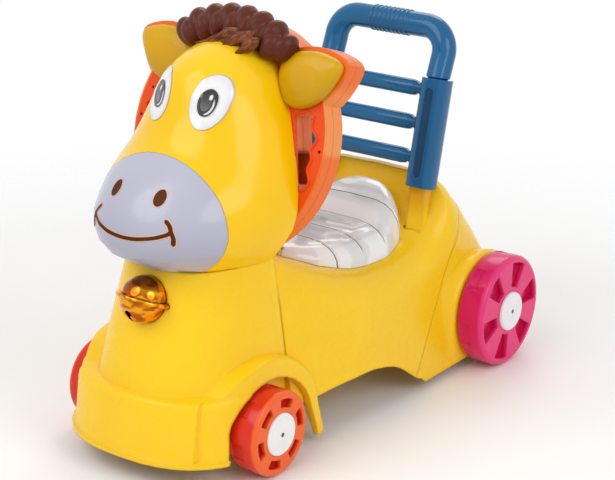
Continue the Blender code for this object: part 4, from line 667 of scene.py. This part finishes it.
    def pupil(self, head):
        """Black oval with a grey iris and a pale crescent printed on it."""
        finish = Finish("pupil")
        x, _, z = finish.axes(finish.local(head))
        size = sizes()
        flip = finish.sign(x)
        side = abs(x) - (size.eye_x - PUPIL_SHIFT)
        up = z - (size.eye_z - PUPIL_SHIFT)
        lean = size.eye_lean
        iris = finish.oval(side, up, 0.0048, 0.0086, lean)
        light = finish.step(up, 0.006, -0.008)
        grey = finish.mix(light, (0.02, 0.02, 0.022), (0.13, 0.13, 0.135))
        shade = finish.mix(finish.step(iris, 0.88, 1.0), grey, (0.005, 0.005, 0.006))
        shift = side - flip * 0.0012
        outer = finish.oval(shift, up + 0.001, 0.0062, 0.0106, lean)
        inner = finish.oval(shift + flip * 0.0012, up, 0.0058, 0.0104, lean)
        ring = finish.within(outer, 0.95, 1.0) * finish.step(inner, 0.97, 1.02)
        right = finish.step(flip * side, -0.001, 0.002) * finish.step(up, 0.006, 0.0)
        shade = finish.mix(ring * right, shade, (0.75, 0.75, 0.78))
        finish.surface("pupil", Base_Color=shade, Roughness=finish.noise(0.004) * 0.1 + 0.12,
                       Coat_Weight=0.6,
                       Normal=rounded(finish, finish.noise(0.001), 0.02, 0.0002, 0.0003))

    def eye_white(self, head):
        """White with a painted lilac shade towards its edge and a thin dark outline."""
        finish = Finish("eye_white")
        x, _, z = finish.axes(finish.local(head))
        size = sizes()
        edge = finish.oval(abs(x) - size.eye_x, z - size.eye_z, *EYE_HALVES, size.eye_lean)
        white = tuple(colours().white)
        drift = finish.noise(0.01, 2.0) * 0.25
        # Painted shade: lilac towards the edge of the white
        painted_edge_shade = finish.step(edge + drift, 0.75, 1.15) * 0.5
        shade = finish.mix(painted_edge_shade, white, (0.62, 0.60, 0.72))
        shade = finish.mix(finish.step(edge, 0.972, 0.985) * 0.6, shade, (0.30, 0.24, 0.08))
        finish.surface("eye_white", Base_Color=shade, Roughness=finish.noise(0.004) * 0.1 + 0.15,
                       Coat_Weight=0.5,
                       Normal=rounded(finish, finish.noise(0.001), 0.01, 0.0002, 0.0003))


def groove_y(i):
    """Where the i-th groove crosses the seat, along Y."""
    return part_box("seat_lid")[0].y + GROOVE_FIRST + GROOVE_PITCH * i


class WALKER_OT_shells(bpy.types.Operator):
    """Makes the body, tub, tail, disc, face, muzzle, seat and ear mouldings"""
    bl_idname = "walker.shells"
    bl_label = "Shells"

    def execute(self, context):
        tub = welded("rear_body", "rear_body_moulding")
        self.ease_pegs(tub)
        done(tub, "body", "rear_body", angle=35)
        for node, finish in (("front_body", "body"), ("rear_cover", "body"),
                             ("disc_front", "disc"), ("disc_rear", "disc"),
                             ("face_shell", "face"), ("muzzle", "muzzle"), ("seat_lid", "seat")):
            shell(node, finish)
        ear = melted(welded("ear_left", "ear_left_moulding"), 0.0010, 6)
        done(ear, "ear", "ear_left", angle=60)
        done(mirrored(ear, "ear_right_moulding"), "ear", "ear_right", angle=60)
        return {"FINISHED"}

    def ease_pegs(self, tub):
        """Draws the foot of each handle peg back into the wall that it grows from."""
        place = handle_matrix()
        back = place.inverted()
        near = 2e-4
        bpy.ops.object.mode_set(mode="EDIT")
        for side, shift in ((-1, 0.0056), (1, 0.0098)):
            reach = HANDLE_HALF + side * PEG_HALF
            choose(tub, lambda v: abs(abs(v.co.x) - reach) < near
                   and abs((back @ v.co).y + PEG_HALF) < near and (back @ v.co).z < -0.04,
                   "verts")
            bpy.ops.transform.translate(value=place.to_3x3() @ Vector((0, shift, 0)))
        object_mode()


class WALKER_OT_wheels(bpy.types.Operator):
    """Models the wheels and their hub caps"""
    bl_idname = "walker.wheels"
    bl_label = "Wheels"

    def execute(self, context):
        self.pair("front", "front_wheel", 0.0045, 0.0255, 0.0360, 12)
        self.pair("rear", "rear_wheel", 0.0055, 0.0255, 0.0545, 10)
        return {"FINISHED"}

    def pair(self, end, finish, lip, pocket_inner, pocket_outer, width):
        lo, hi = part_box(f"{end}_wheel_left")
        middle = (lo + hi) / 2
        wheel = self.wheel(f"{end}_wheel_left_moulding", (hi.z - lo.z) / 2, hi.x - lo.x, lip,
                           pocket_inner, pocket_outer, width)
        low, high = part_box(f"{end}_hub_cap_left")
        cap = self.cap(f"{end}_hub_cap_left_moulding", (high.z - low.z) / 2, low.x - middle.x,
                       high.x - middle.x)
        for piece, node, name in ((wheel, "wheel", finish), (cap, "hub_cap", "cap")):
            other = copy_of(piece, f"{end}_{node}_right_moulding")
            settle(piece, Matrix.Translation(middle))
            opposite = Matrix.Translation((-middle.x, middle.y, middle.z))
            settle(other, opposite @ Matrix.Rotation(math.pi, 4, "Z"))
            done(piece, name, f"{end}_{node}_left", angle=30)
            done(other, name, f"{end}_{node}_right", angle=30)

    def turn(self, face):
        """Where a face stands round the axle, 0.5 being the middle of a pocket."""
        middle = face.calc_center_median()
        turns = math.atan2(middle.z, middle.y) / (2 * math.pi)
        return (turns * sizes().pockets + POCKET_PHASE) % 1.0

    def wheel(self, name, radius, width, lip, pocket_inner, pocket_outer, faces):
        """A moulded wheel about the X axis, its outer face towards +X."""
        hub, bore, cap_depth, web = 0.0218, 0.0032, 0.009, 0.016
        back_lip, back_rim, back_hub = lip * 0.7, 0.0024, hub * 0.6
        pocket_rim, pocket_lip, pocket_depth, corner = 0.0009, 0.0005, 0.0068, 0.0018
        face = width / 2
        piece = start("cylinder", name, vertices=WHEEL_SIDES, radius=radius, depth=width,
                      rotation=(0, math.pi / 2, 0))
        choose(piece, lambda e: all(v.co.x > face - TOUCH for v in e.verts), "edges")
        bpy.ops.mesh.bevel(offset=lip, segments=5)
        choose(piece, lambda e: all(v.co.x < -face + TOUCH for v in e.verts), "edges")
        bpy.ops.mesh.bevel(offset=back_lip, segments=3)
        choose(piece, lambda f: f.normal.x > 0.999)
        inset(radius - lip - pocket_outer)
        inset(pocket_outer - pocket_inner)
        inset(pocket_inner - hub)
        push(-cap_depth)
        inset(hub - bore)
        choose(piece, lambda f: f.normal.x < -0.999)
        inset(back_rim)
        push(width - web)
        inset(radius - back_lip - back_rim - back_hub)
        push(web - width)
        inset(back_hub - bore)
        share = faces * sizes().pockets / (2 * WHEEL_SIDES)

        def in_pocket(f):
            middle = f.calc_center_median()
            return (f.normal.x > 0.999 and abs(middle.x - face) < TOUCH
                    and pocket_inner < radial(middle) < pocket_outer
                    and abs(self.turn(f) - 0.5) < share)
        choose(piece, in_pocket)
        inset(pocket_rim, -pocket_lip)
        push(-pocket_depth)
        choose(piece, lambda e: abs(e.verts[0].co.x - e.verts[1].co.x) > 0.006
               and radial(e.verts[0].co) > hub + 0.003
               and radial(e.verts[0].co) < pocket_outer
               and min(v.co.x for v in e.verts) > face - 0.009
               and e.calc_face_angle(0) > 0.9, "edges")
        bpy.ops.mesh.bevel(offset=corner, segments=3)
        self.notches(piece, radius)
        choose(piece, lambda f: abs(f.normal.x) > 0.999
               and radial(f.calc_center_median()) < TOUCH)
        bpy.ops.mesh.delete(type="ONLY_FACE")
        choose(piece, lambda e: e.is_boundary, "edges")
        bpy.ops.mesh.bridge_edge_loops()
        return outwards(piece)

    def notches(self, piece, radius):
        """The shallow lands pressed into the tread beside the outer band."""
        band, land_share = 0.001, 0.2

        def on_tread(f):
            return abs(f.normal.x) < 0.01 and radial(f.calc_center_median()) > radius * 0.98
        choose(piece, on_tread)
        bpy.ops.mesh.bisect(plane_co=(band, 0, 0), plane_no=(1, 0, 0))
        choose(piece, lambda f: on_tread(f) and f.calc_center_median().x < band
               and abs(self.turn(f) - 0.5) < land_share)
        inset(0.0008, -0.0014)

    def cap(self, name, radius, back, front):
        """A hub cap: flat face with a raised rim and a small dimple in the middle."""
        depth = front - back
        dimple_depth, back_rim, wall = 0.0024, 0.0020, 0.0040
        piece = start("cylinder", name, vertices=64, radius=radius, depth=depth,
                      location=((front + back) / 2, 0, 0), rotation=(0, math.pi / 2, 0))
        choose(piece, lambda e: all(v.co.x > front - TOUCH for v in e.verts), "edges")
        bpy.ops.mesh.bevel(offset=0.0026, segments=4)
        choose(piece, lambda f: f.normal.x > 0.999)
        # The rings of its face from the rim inwards: how wide, and how far they rise
        for ring, rise in ((0.0012, -0.0002), (0.0006, -0.0004), (radius - 0.0077, 0.0004),
                           (0.0008, 0.0003), (0.0003, -0.0002)):
            inset(ring, rise)
        push(-dimple_depth)
        choose(piece, lambda f: f.normal.x < -0.999)
        inset(back_rim)
        push(depth - wall)
        return outwards(piece)


class WALKER_OT_mane(bpy.types.Operator):
    """Models the mane's curls and the forelock"""
    bl_idname = "walker.mane"
    bl_label = "Mane"

    def execute(self, context):
        size = sizes()
        span, back_row, front_row = 1.14, (0.109, -0.012), (0.1035, -0.0185)
        last = 2 * size.curls - 2
        curl = self.curl(size.curl)
        curls = []
        for i in range(last + 1):
            back = i % 2 == 0
            turn = span * (i / last - 0.5)
            grow = 0.85 if i in (0, last) else 1.0 if back else 0.80
            reach, depth = back_row if back else front_row
            form = [stretch * grow for stretch in (0.78, 1.10, 1.15)]
            other = copy_of(curl, f"curl_{i}")
            settle(other, Matrix.Translation((reach * math.sin(turn), depth,
                                              reach * math.cos(turn)))
                   @ Matrix.Rotation(turn, 4, "Y") @ Matrix.Diagonal((*form, 1.0)))
            curls.append(other)
        bpy.data.objects.remove(curl)
        self.grown_together(curls, "mane", 0.0009, 3)
        tuft = self.tuft()
        tufts = []
        for i in range(size.locks):
            share = i / (size.locks - 1) - 0.5
            across, depth = 0.012 + 0.040 * share, -0.0365 + 0.002 * (i % 2)
            height = 0.0900 + 0.003 * (i % 3) - 0.008 * abs(share)
            fan, dip, drawn_out = 1.05 - 0.55 * share, -0.35, 2.5 - 0.3 * (i % 2)
            other = copy_of(tuft, f"tuft_{i}")
            settle(other, Matrix.Translation((across, depth, height))
                   @ Matrix.Rotation(fan, 4, "Y") @ Matrix.Rotation(dip, 4, "X")
                   @ Matrix.Diagonal((1.05, 1.15, drawn_out, 1.0)))
            tufts.append(other)
        bpy.data.objects.remove(tuft)
        self.grown_together(tufts, "forelock", 0.0006, 1)
        return {"FINISHED"}

    def grown_together(self, parts, node, grid, rounds):
        """Joins curls or locks into one piece, set on the head and clear of its neighbours."""
        piece = join(*parts)
        piece.name = node + "_moulding"
        settle(melted(piece, grid, rounds), head_matrix())
        self.clear_of_face(piece)
        done(piece, node, node, angle=60)

    def curl(self, radius):
        """One curl: a plump puff with a soft furrow to one side."""
        piece = start("uv_sphere", "curl", segments=48, ring_count=32, radius=radius)
        furrow = radius * 0.42
        for reach, narrow in ((0.18, 0.985), (0.07, 0.975)):
            choose(piece, lambda v: abs(v.co.x - furrow) < radius * reach, "verts")
            resize(1.0, narrow, narrow, (furrow, 0, 0))
        object_mode()
        return piece

    def tuft(self):
        """One lock of the forelock, drawn out to a point at its lower end."""
        piece = start("uv_sphere", "tuft", segments=24, ring_count=24, radius=0.0060)
        for level in range(8):
            foot = 0.0005 - 0.0007 * level
            choose(piece, lambda v: v.co.z < foot, "verts")
            resize(0.86, 0.90, 1.04, (0, 0, foot))
        object_mode()
        return piece

    def clear_of_face(self, piece):
        """Trims what would lie inside the face, the disc and the ears."""
        for node in ("face_shell", "disc_front", "ear_left", "ear_right"):
            cut(piece, welded(node, node + "_room"))
        self.largest(piece)

    def largest(self, piece):
        """Keeps the biggest loose part of a mesh."""
        edit_all(piece)
        bpy.ops.mesh.separate(type="LOOSE")
        object_mode()
        parts = list(bpy.context.selected_objects)
        parts.sort(key=lambda part: -len(part.data.vertices))
        name = piece.name
        keep = parts[0]
        for part in parts[1:]:
            if part is piece:
                piece.data, keep.data = keep.data, piece.data
                part = keep
            bpy.data.objects.remove(part)
        piece.name = name


class WALKER_OT_eyes(bpy.types.Operator):
    """Models the eyes and pupils as inserts that follow the face"""
    bl_idname = "walker.eyes"
    bl_label = "Eyes"

    def execute(self, context):
        size = sizes()
        face = welded("face_shell", "face_form")
        x, z, lean, thickness = size.eye_x, size.eye_z, size.eye_lean, 0.0007
        eye = insert("eye_left_insert", x, z, *EYE_HALVES, lean, face, 0.0002, thickness)
        pupil = insert("pupil_left_insert", x - PUPIL_SHIFT, z - PUPIL_SHIFT, *PUPIL_HALVES, lean,
                       face, 0.0014, thickness)
        for piece, finish, node in ((eye, "eye_white", "eye"), (pupil, "pupil", "pupil")):
            other = mirrored(piece, node + "_right_insert")
            done(piece, finish, node + "_left", angle=50)
            done(other, finish, node + "_right", angle=50)
        glint_aside, glint_up, glint_halves = 0.0022, 0.0042, (0.0016, 0.0028)
        for side, tag in ((1, "left"), (-1, "right")):
            glint = insert("glint_" + tag, side * (x - PUPIL_SHIFT) + glint_aside, z + glint_up,
                           *glint_halves, 0.1, face, 0.0022, 0.0002)
            only(glint)
            bpy.ops.object.shade_smooth()
            glint.data.materials.append(FINISHES["white"])
            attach(glint, BODY_OF["eye_" + tag])
        bpy.data.objects.remove(face)
        return {"FINISHED"}


def insert(name, x, z, half_x, half_z, lean, face, lift, thickness):
    """An oval plate laid on the face: a disc of rings, pressed on and given a thickness."""
    piece = start("circle", name, vertices=48, radius=1.0, fill_type="NGON",
                  rotation=(math.pi / 2, 0, 0))
    for _ in range(5):
        inset(0.16)
    bpy.ops.mesh.poke()
    object_mode()
    settle(piece, Matrix.Translation((x, -0.2, z)) @ Matrix.Rotation(lean, 4, "Y")
           @ Matrix.Diagonal((half_x, 1.0, half_z, 1.0)))
    return pressed(piece, face, lift, thickness)


def pressed(piece, face, lift, thickness):
    """Projects a flat piece in the head's frame back onto a form and thickens it."""
    head = head_matrix()
    piece.matrix_world = head
    apply(piece, "SHRINKWRAP", target=face, wrap_method="PROJECT", use_project_x=False,
          use_project_y=True, use_project_z=False, use_negative_direction=False,
          use_positive_direction=True)
    piece.matrix_world = Matrix.Identity(4)
    bpy.context.view_layer.update()
    settle(piece, head)
    facing_out(piece)
    apply(piece, "DISPLACE", strength=lift, mid_level=0.0)
    apply(piece, "SOLIDIFY", thickness=thickness, offset=1.0)
    return piece


def facing_out(piece):
    """Turns an open sheet so that its faces look towards the horse's front."""
    edit_all(piece)
    bpy.ops.mesh.normals_make_consistent(inside=False)
    object_mode()
    total = sum((polygon.normal * polygon.area for polygon in piece.data.polygons), Vector())
    if total.y > 0:
        bpy.ops.object.mode_set(mode="EDIT")
        bpy.ops.mesh.flip_normals()
        object_mode()


class WALKER_OT_print(bpy.types.Operator):
    """Lays the nostrils and the mouth on the muzzle"""
    bl_idname = "walker.print"
    bl_label = "Nostrils and mouth"

    def execute(self, context):
        form = welded("muzzle", "muzzle_form")
        made = []
        half_mouth = [(0.0, -0.1047), (0.0120, -0.1040), (0.0235, -0.1018), (0.0340, -0.0985),
                      (0.0425, -0.0940), (0.0455, -0.0910)]
        mouth = [(-x, z) for x, z in half_mouth[:0:-1]] + half_mouth
        tick = [(0.0395, -0.0822), (0.0432, -0.0858), (0.0460, -0.0910), (0.0480, -0.0965),
                (0.0482, -0.1015)]
        for grow, lift, finish in ((0.0009, 0.00005, "print_edge"),
                                   (0.0, 0.00030, "print_brown")):
            half = 0.0017 + grow
            nostril = insert(f"nostril_left_{finish}", 0.0262, -0.063, 0.0055 + grow,
                             0.0080 + grow, -0.10, form, lift, PRINT_THICKNESS)
            end = stroke(f"mouth_end_left_{finish}", tick, half, form, lift + 0.00002)
            made += [(piece, finish) for piece in (
                nostril, mirrored(nostril, f"nostril_right_{finish}"), end,
                mirrored(end, f"mouth_end_right_{finish}"),
                stroke("mouth_" + finish, mouth, half, form, lift))]
        for piece, finish in made:
            only(piece)
            bpy.ops.object.shade_smooth_by_angle(angle=math.radians(50))
            piece.data.materials.append(FINISHES[finish])
            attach(piece, BODY_OF["muzzle"])
        bpy.data.objects.remove(form)
        return {"FINISHED"}


def smooth_line(points, steps):
    """A Catmull-Rom curve through flat points."""
    ends = [Vector(p) for p in points]
    ends = [2 * ends[0] - ends[1]] + ends + [2 * ends[-1] - ends[-2]]
    line = []
    for a, b, c, d in zip(ends, ends[1:], ends[2:], ends[3:]):
        for i in range(steps):
            t = i / steps
            line.append(0.5 * (2 * b + (c - a) * t + (2 * a - 5 * b + 4 * c - d) * t * t
                               + (3 * b - a - 3 * c + d) * t ** 3))
    return line + [ends[-2]]


def stroke(name, points, half, form, lift):
    """A round-ended ribbon along a line of the head's front plane, pressed on its form."""
    line = smooth_line(points, 5)
    first, last = line[0] - line[1], line[-1] - line[-2]
    widths = [half] * len(line)
    # Three steps round each end, as shares of its half circle's depth
    for share in (0.5, 0.86, 0.995):
        line = [line[0] + first.normalized() * half * 0.5 * share] + line
        line = line + [line[-1] + last.normalized() * half * 0.5 * share]
        narrow = half * math.sqrt(1 - share ** 2)
        widths = [narrow] + widths + [narrow]
    across = 5
    rows = len(line)
    piece = start("grid", name, x_subdivisions=across - 1, y_subdivisions=rows - 1, size=1.0)
    object_mode()
    for k, vert in enumerate(piece.data.vertices):
        i, j = divmod(k, across)
        ahead = line[min(i + 1, rows - 1)] - line[max(i - 1, 0)]
        normal = Vector((-ahead.y, ahead.x)).normalized()
        point = line[i] + normal * widths[i] * (2 * j / (across - 1) - 1)
        vert.co = (point.x, -0.2, point.y)
    return pressed(piece, form, lift, PRINT_THICKNESS)


class WALKER_OT_bell(bpy.types.Operator):
    """Models the round bell, its band and its slot"""
    bl_idname = "walker.bell"
    bl_label = "Bell"

    def execute(self, context):
        size = sizes()
        lo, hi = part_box("bell_band")
        middle = (lo + hi) / 2
        lean = Euler((size.bell_pitch, size.bell_roll, 0)).to_matrix().to_4x4()
        place = Matrix.Translation(middle) @ lean
        radius, foot, wall, band_out, band_radius = 0.023, 0.0028, 0.002, 0.0015, 0.0025
        upper = start("uv_sphere", "bell_upper_moulding", segments=64, ring_count=32,
                      radius=radius)
        bpy.ops.mesh.bisect(plane_co=(0, 0, foot), plane_no=(0, 0, 1), clear_inner=True)
        apply(upper, "SOLIDIFY", thickness=wall, offset=-1.0)
        lower = settle(copy_of(upper, "bell_lower_moulding"), Matrix.Rotation(math.pi, 4, "X"))
        self.slot(lower, radius)
        band = start("torus", "bell_band_moulding", major_segments=64, minor_segments=16,
                     major_radius=radius + band_out, minor_radius=band_radius)
        choose(band, lambda v: math.hypot(v.co.x, v.co.y) < radius, "verts")
        resize(0.955, 0.955, 1.0, (0, 0, 0))
        for piece, node in ((upper, "bell_upper"), (lower, "bell_lower"), (band, "bell_band")):
            settle(piece, place)
            done(piece, "bell", node, angle=40)
        ball = welded("bell_ball", "bell_ball_turned")
        apply(ball, "SUBSURF", levels=1, render_levels=1)
        done(ball, "steel", "bell_ball", angle=80)
        return {"FINISHED"}

    def slot(self, half, radius):
        """Cuts the slot across the bell's foot and its round end."""
        turn, width, end_radius = 0.73, 0.0036, 0.0036
        slot = start("cube", "slot_cutter", size=1.0)
        settle(slot, Matrix.Translation((0, 0, -radius * math.sin(turn) - 0.02))
               @ Matrix.Diagonal((width, 0.1, 0.04, 1.0)))
        cut(half, slot)
        hole = start("cylinder", "slot_end_cutter", vertices=32, radius=end_radius, depth=0.04)
        settle(hole, Matrix.Rotation(math.pi / 2 + turn, 4, "X")
               @ Matrix.Translation((0, 0, 0.032)))
        cut(half, hole)


class WALKER_OT_handle(bpy.types.Operator):
    """Models the push handle's hoop and rungs, and finishes its sleeves"""
    bl_idname = "walker.handle"
    bl_label = "Handle"

    def execute(self, context):
        frame_of = handle_matrix()
        self.hoop(frame_of)
        for tag in ("left", "right"):
            shell("handle_sleeve_" + tag, "handle", 35)
        bar = self.rung()
        for i in range(RUNGS):
            rung = copy_of(bar, f"handle_rung_{i + 1}_moulding")
            height = RUNG_FIRST + RUNG_PITCH * i
            settle(rung, frame_of @ Matrix.Translation((0, 0, height)))
            done(rung, "handle", f"handle_rung_{i + 1}", angle=40)
        bpy.data.objects.remove(bar)
        return {"FINISHED"}

    def hoop(self, frame_of):
        """Half a bent tube, from its leg to the ribbed middle of the grip, then mirrored."""
        half, sweep, top, corner = HANDLE_HALF, 0.004, 0.1695, 0.026
        tube, foot, rib, pitch, ribs = 0.013, 0.0105, 0.0012, 0.0055, 9
        low, shoulder, full = 0.0943, 0.1163, 0.1179
        piece = start("circle", "handle_hoop_moulding", vertices=32, radius=foot,
                      location=(half, 0, low))
        push(z=shoulder - low)
        push(z=full - shoulder)
        resize(tube / foot, tube / foot, 1.0, (half, 0, full))
        push(y=sweep, z=top - corner - full)
        bpy.ops.mesh.spin(steps=14, angle=math.pi / 2, axis=(0, 1, 0),
                          center=(half - corner, sweep, top - corner))
        first, rings = pitch * ribs / 2, 8
        push(x=first - (half - corner))
        size = 1.0
        for i in range(1, ribs * rings // 2 + 1):
            x = first - i * pitch / rings
            wave = max(0.0, math.cos(2 * math.pi * x / pitch)) ** 0.6
            grow = (1 + rib / tube * wave) / size
            push(x=-pitch / rings)
            resize(1.0, grow, grow, (x, sweep, top))
            size *= grow
        edit_all(apply(piece, "MIRROR", use_axis=(True, False, False)))
        bpy.ops.mesh.fill_holes(sides=0)
        settle(outwards(piece), frame_of)
        done(piece, "handle", "handle_hoop", angle=50)

    def rung(self):
        """A bar that necks in before the knuckle at each end."""
        full, inner, grip = 0.0085, 0.0545, 0.004
        body = inner - 0.014
        piece = start("cylinder", "rung", vertices=40, radius=full, depth=2 * body,
                      rotation=(0, math.pi / 2, 0))
        ends = ((0.005, 0.92), (0.003, 0.74), (0.0015, 1.0), (0.0012, 1.18), (0.0028, 1.0),
                (0.0002, 0.72), (grip + 0.0003, 1.0))
        for side in (1, -1):
            x = side * body
            choose(piece, lambda f: f.normal.x * side > 0.999)
            for along, size in ends:
                x += side * along
                push(side * along)
                resize(1.0, size, size, (x, 0, 0))
        return outwards(piece)


class WALKER_OT_music(bpy.types.Operator):
    """Finishes the rider's music panel, its buttons and what lies behind them"""
    bl_idname = "walker.music"
    bl_label = "Music panel"

    def execute(self, context):
        for node, finish in (("music_panel", "body"), ("music_button_1", "red"),
                             ("music_button_2", "handle"), ("music_button_3", "rear_wheel"),
                             ("speaker", "black"), ("circuit_board", "board"),
                             ("battery_box", "black"), ("battery_door", "disc"),
                             ("power_switch", "black"), ("head_mount", "grey")):
            shell(node, finish, 30)
        return {"FINISHED"}


class WALKER_OT_metal(bpy.types.Operator):
    """Finishes the axles, their nuts and the seat's hinge pin"""
    bl_idname = "walker.metal"
    bl_label = "Axles, nuts and pin"

    def execute(self, context):
        nodes = ["front_axle", "rear_axle", "seat_hinge_pin"]
        nodes += [f"{end}_axle_nut_{tag}" for end in ("front", "rear")
                  for tag in ("left", "right")]
        for node in nodes:
            shell(node, "steel", 30)
        return {"FINISHED"}


class WALKER_OT_stage(bpy.types.Operator):
    """Sets up the pale floor, the soft lamps and the camera"""
    bl_idname = "walker.stage"
    bl_label = "Stage"

    def execute(self, context):
        stage = context.scene.walker_stage
        context.scene.view_settings.view_transform = "Standard"
        self.floor()
        self.sky(stage.sky)
        for name, place, width, share in (("key", (-0.5, -1.6, 1.9), 1.8, 1.0),
                                          ("fill", (1.7, -0.4, 1.2), 1.2, 0.50),
                                          ("back", (-0.6, 1.6, 1.7), 1.2, 0.4)):
            self.lamp(name, place, width, stage.key * share)
        camera = bpy.data.cameras.new("camera")
        camera.sensor_width = 36
        camera.lens = stage.lens
        stand = bpy.data.objects.new("camera", camera)
        context.scene.collection.objects.link(stand)
        stand.location = stage.camera
        stand.rotation_euler = Vector(stage.aim).to_track_quat("-Z", "Y").to_euler()
        context.scene.camera = stand
        return {"FINISHED"}

    def floor(self):
        below = 0.0005
        floor = start("grid", "floor", x_subdivisions=4, y_subdivisions=4, size=12)
        object_mode()
        floor.data.transform(Matrix.Translation((0, 0, -below)))
        finish = Finish("floor")
        x, y, _ = finish.axes()
        pale = finish.mix(finish.step(finish.noise(0.4, 2.0), 0.3, 0.7), (0.93, 0.93, 0.93),
                          (0.95, 0.95, 0.95))
        finish.surface("floor", Base_Color=pale, Roughness=0.7,
                       Alpha=finish.step(away(x, y), 1.00, 0.45))
        floor.data.materials.append(FINISHES["floor"])

    def sky(self, strength):
        """White surroundings: plain light on the object, full white where it is seen."""
        world = bpy.data.worlds.new("surroundings")
        world.use_nodes = True
        tree = world.node_tree
        tree.nodes.clear()
        path = tree.nodes.new("ShaderNodeLightPath")
        seen = path.outputs["Is Camera Ray"]
        for ray in ("Is Glossy Ray", "Is Transmission Ray"):
            total = tree.nodes.new("ShaderNodeMath")
            total.operation = "ADD"
            total.use_clamp = True
            tree.links.new(seen, total.inputs[0])
            tree.links.new(path.outputs[ray], total.inputs[1])
            seen = total.outputs[0]
        blend = tree.nodes.new("ShaderNodeMixShader")
        tree.links.new(seen, blend.inputs[0])
        for slot, level in ((1, strength), (2, 1.0)):
            white = tree.nodes.new("ShaderNodeBackground")
            white.inputs["Color"].default_value = (1, 1, 1, 1)
            white.inputs["Strength"].default_value = level
            tree.links.new(white.outputs[0], blend.inputs[slot])
        output = tree.nodes.new("ShaderNodeOutputWorld")
        tree.links.new(blend.outputs[0], output.inputs["Surface"])
        bpy.context.scene.world = world

    def lamp(self, name, place, size, power):
        light = bpy.data.lights.new(name, "AREA")
        light.shape = "DISK"
        light.size = size
        light.energy = power
        lamp = bpy.data.objects.new(name, light)
        bpy.context.scene.collection.objects.link(lamp)
        lamp.location = place
        aim = Vector((0, 0, 0.2)) - Vector(place)
        lamp.rotation_euler = aim.to_track_quat("-Z", "Y").to_euler()


OPERATORS = (WALKER_OT_finishes, WALKER_OT_shells, WALKER_OT_wheels, WALKER_OT_mane,
             WALKER_OT_eyes, WALKER_OT_print, WALKER_OT_bell, WALKER_OT_handle,
             WALKER_OT_music, WALKER_OT_metal, WALKER_OT_stage)


class WALKER_PT_panel(bpy.types.Panel):
    """Lists the walker's pieces, sizes and colours"""
    bl_idname = "WALKER_PT_panel"
    bl_label = "Horse baby walker"
    bl_space_type = "VIEW_3D"
    bl_region_type = "UI"
    bl_category = "Walker"

    def draw(self, context):
        column = self.layout.column()
        for operator in OPERATORS:
            column.operator(operator.bl_idname)
        for group in (context.scene.walker_sizes, context.scene.walker_colours,
                      context.scene.walker_stage):
            box = self.layout.box()
            for key in group.__annotations__:
                box.prop(group, key)


GROUPS = {"walker_colours": WalkerColours, "walker_sizes": WalkerSizes,
          "walker_stage": WalkerStage}


def register():
    for item in (*GROUPS.values(), *OPERATORS, WALKER_PT_panel):
        bpy.utils.register_class(item)
    for name, group in GROUPS.items():
        setattr(bpy.types.Scene, name, PointerProperty(type=group))


def unregister():
    for name in GROUPS:
        delattr(bpy.types.Scene, name)
    for item in (WALKER_PT_panel, *reversed(OPERATORS), *reversed(GROUPS.values())):
        bpy.utils.unregister_class(item)


def main():
    register()
    for operator in OPERATORS:
        group, name = operator.bl_idname.split(".")
        getattr(getattr(bpy.ops, group), name)()


if __name__ == "__main__":
    main()
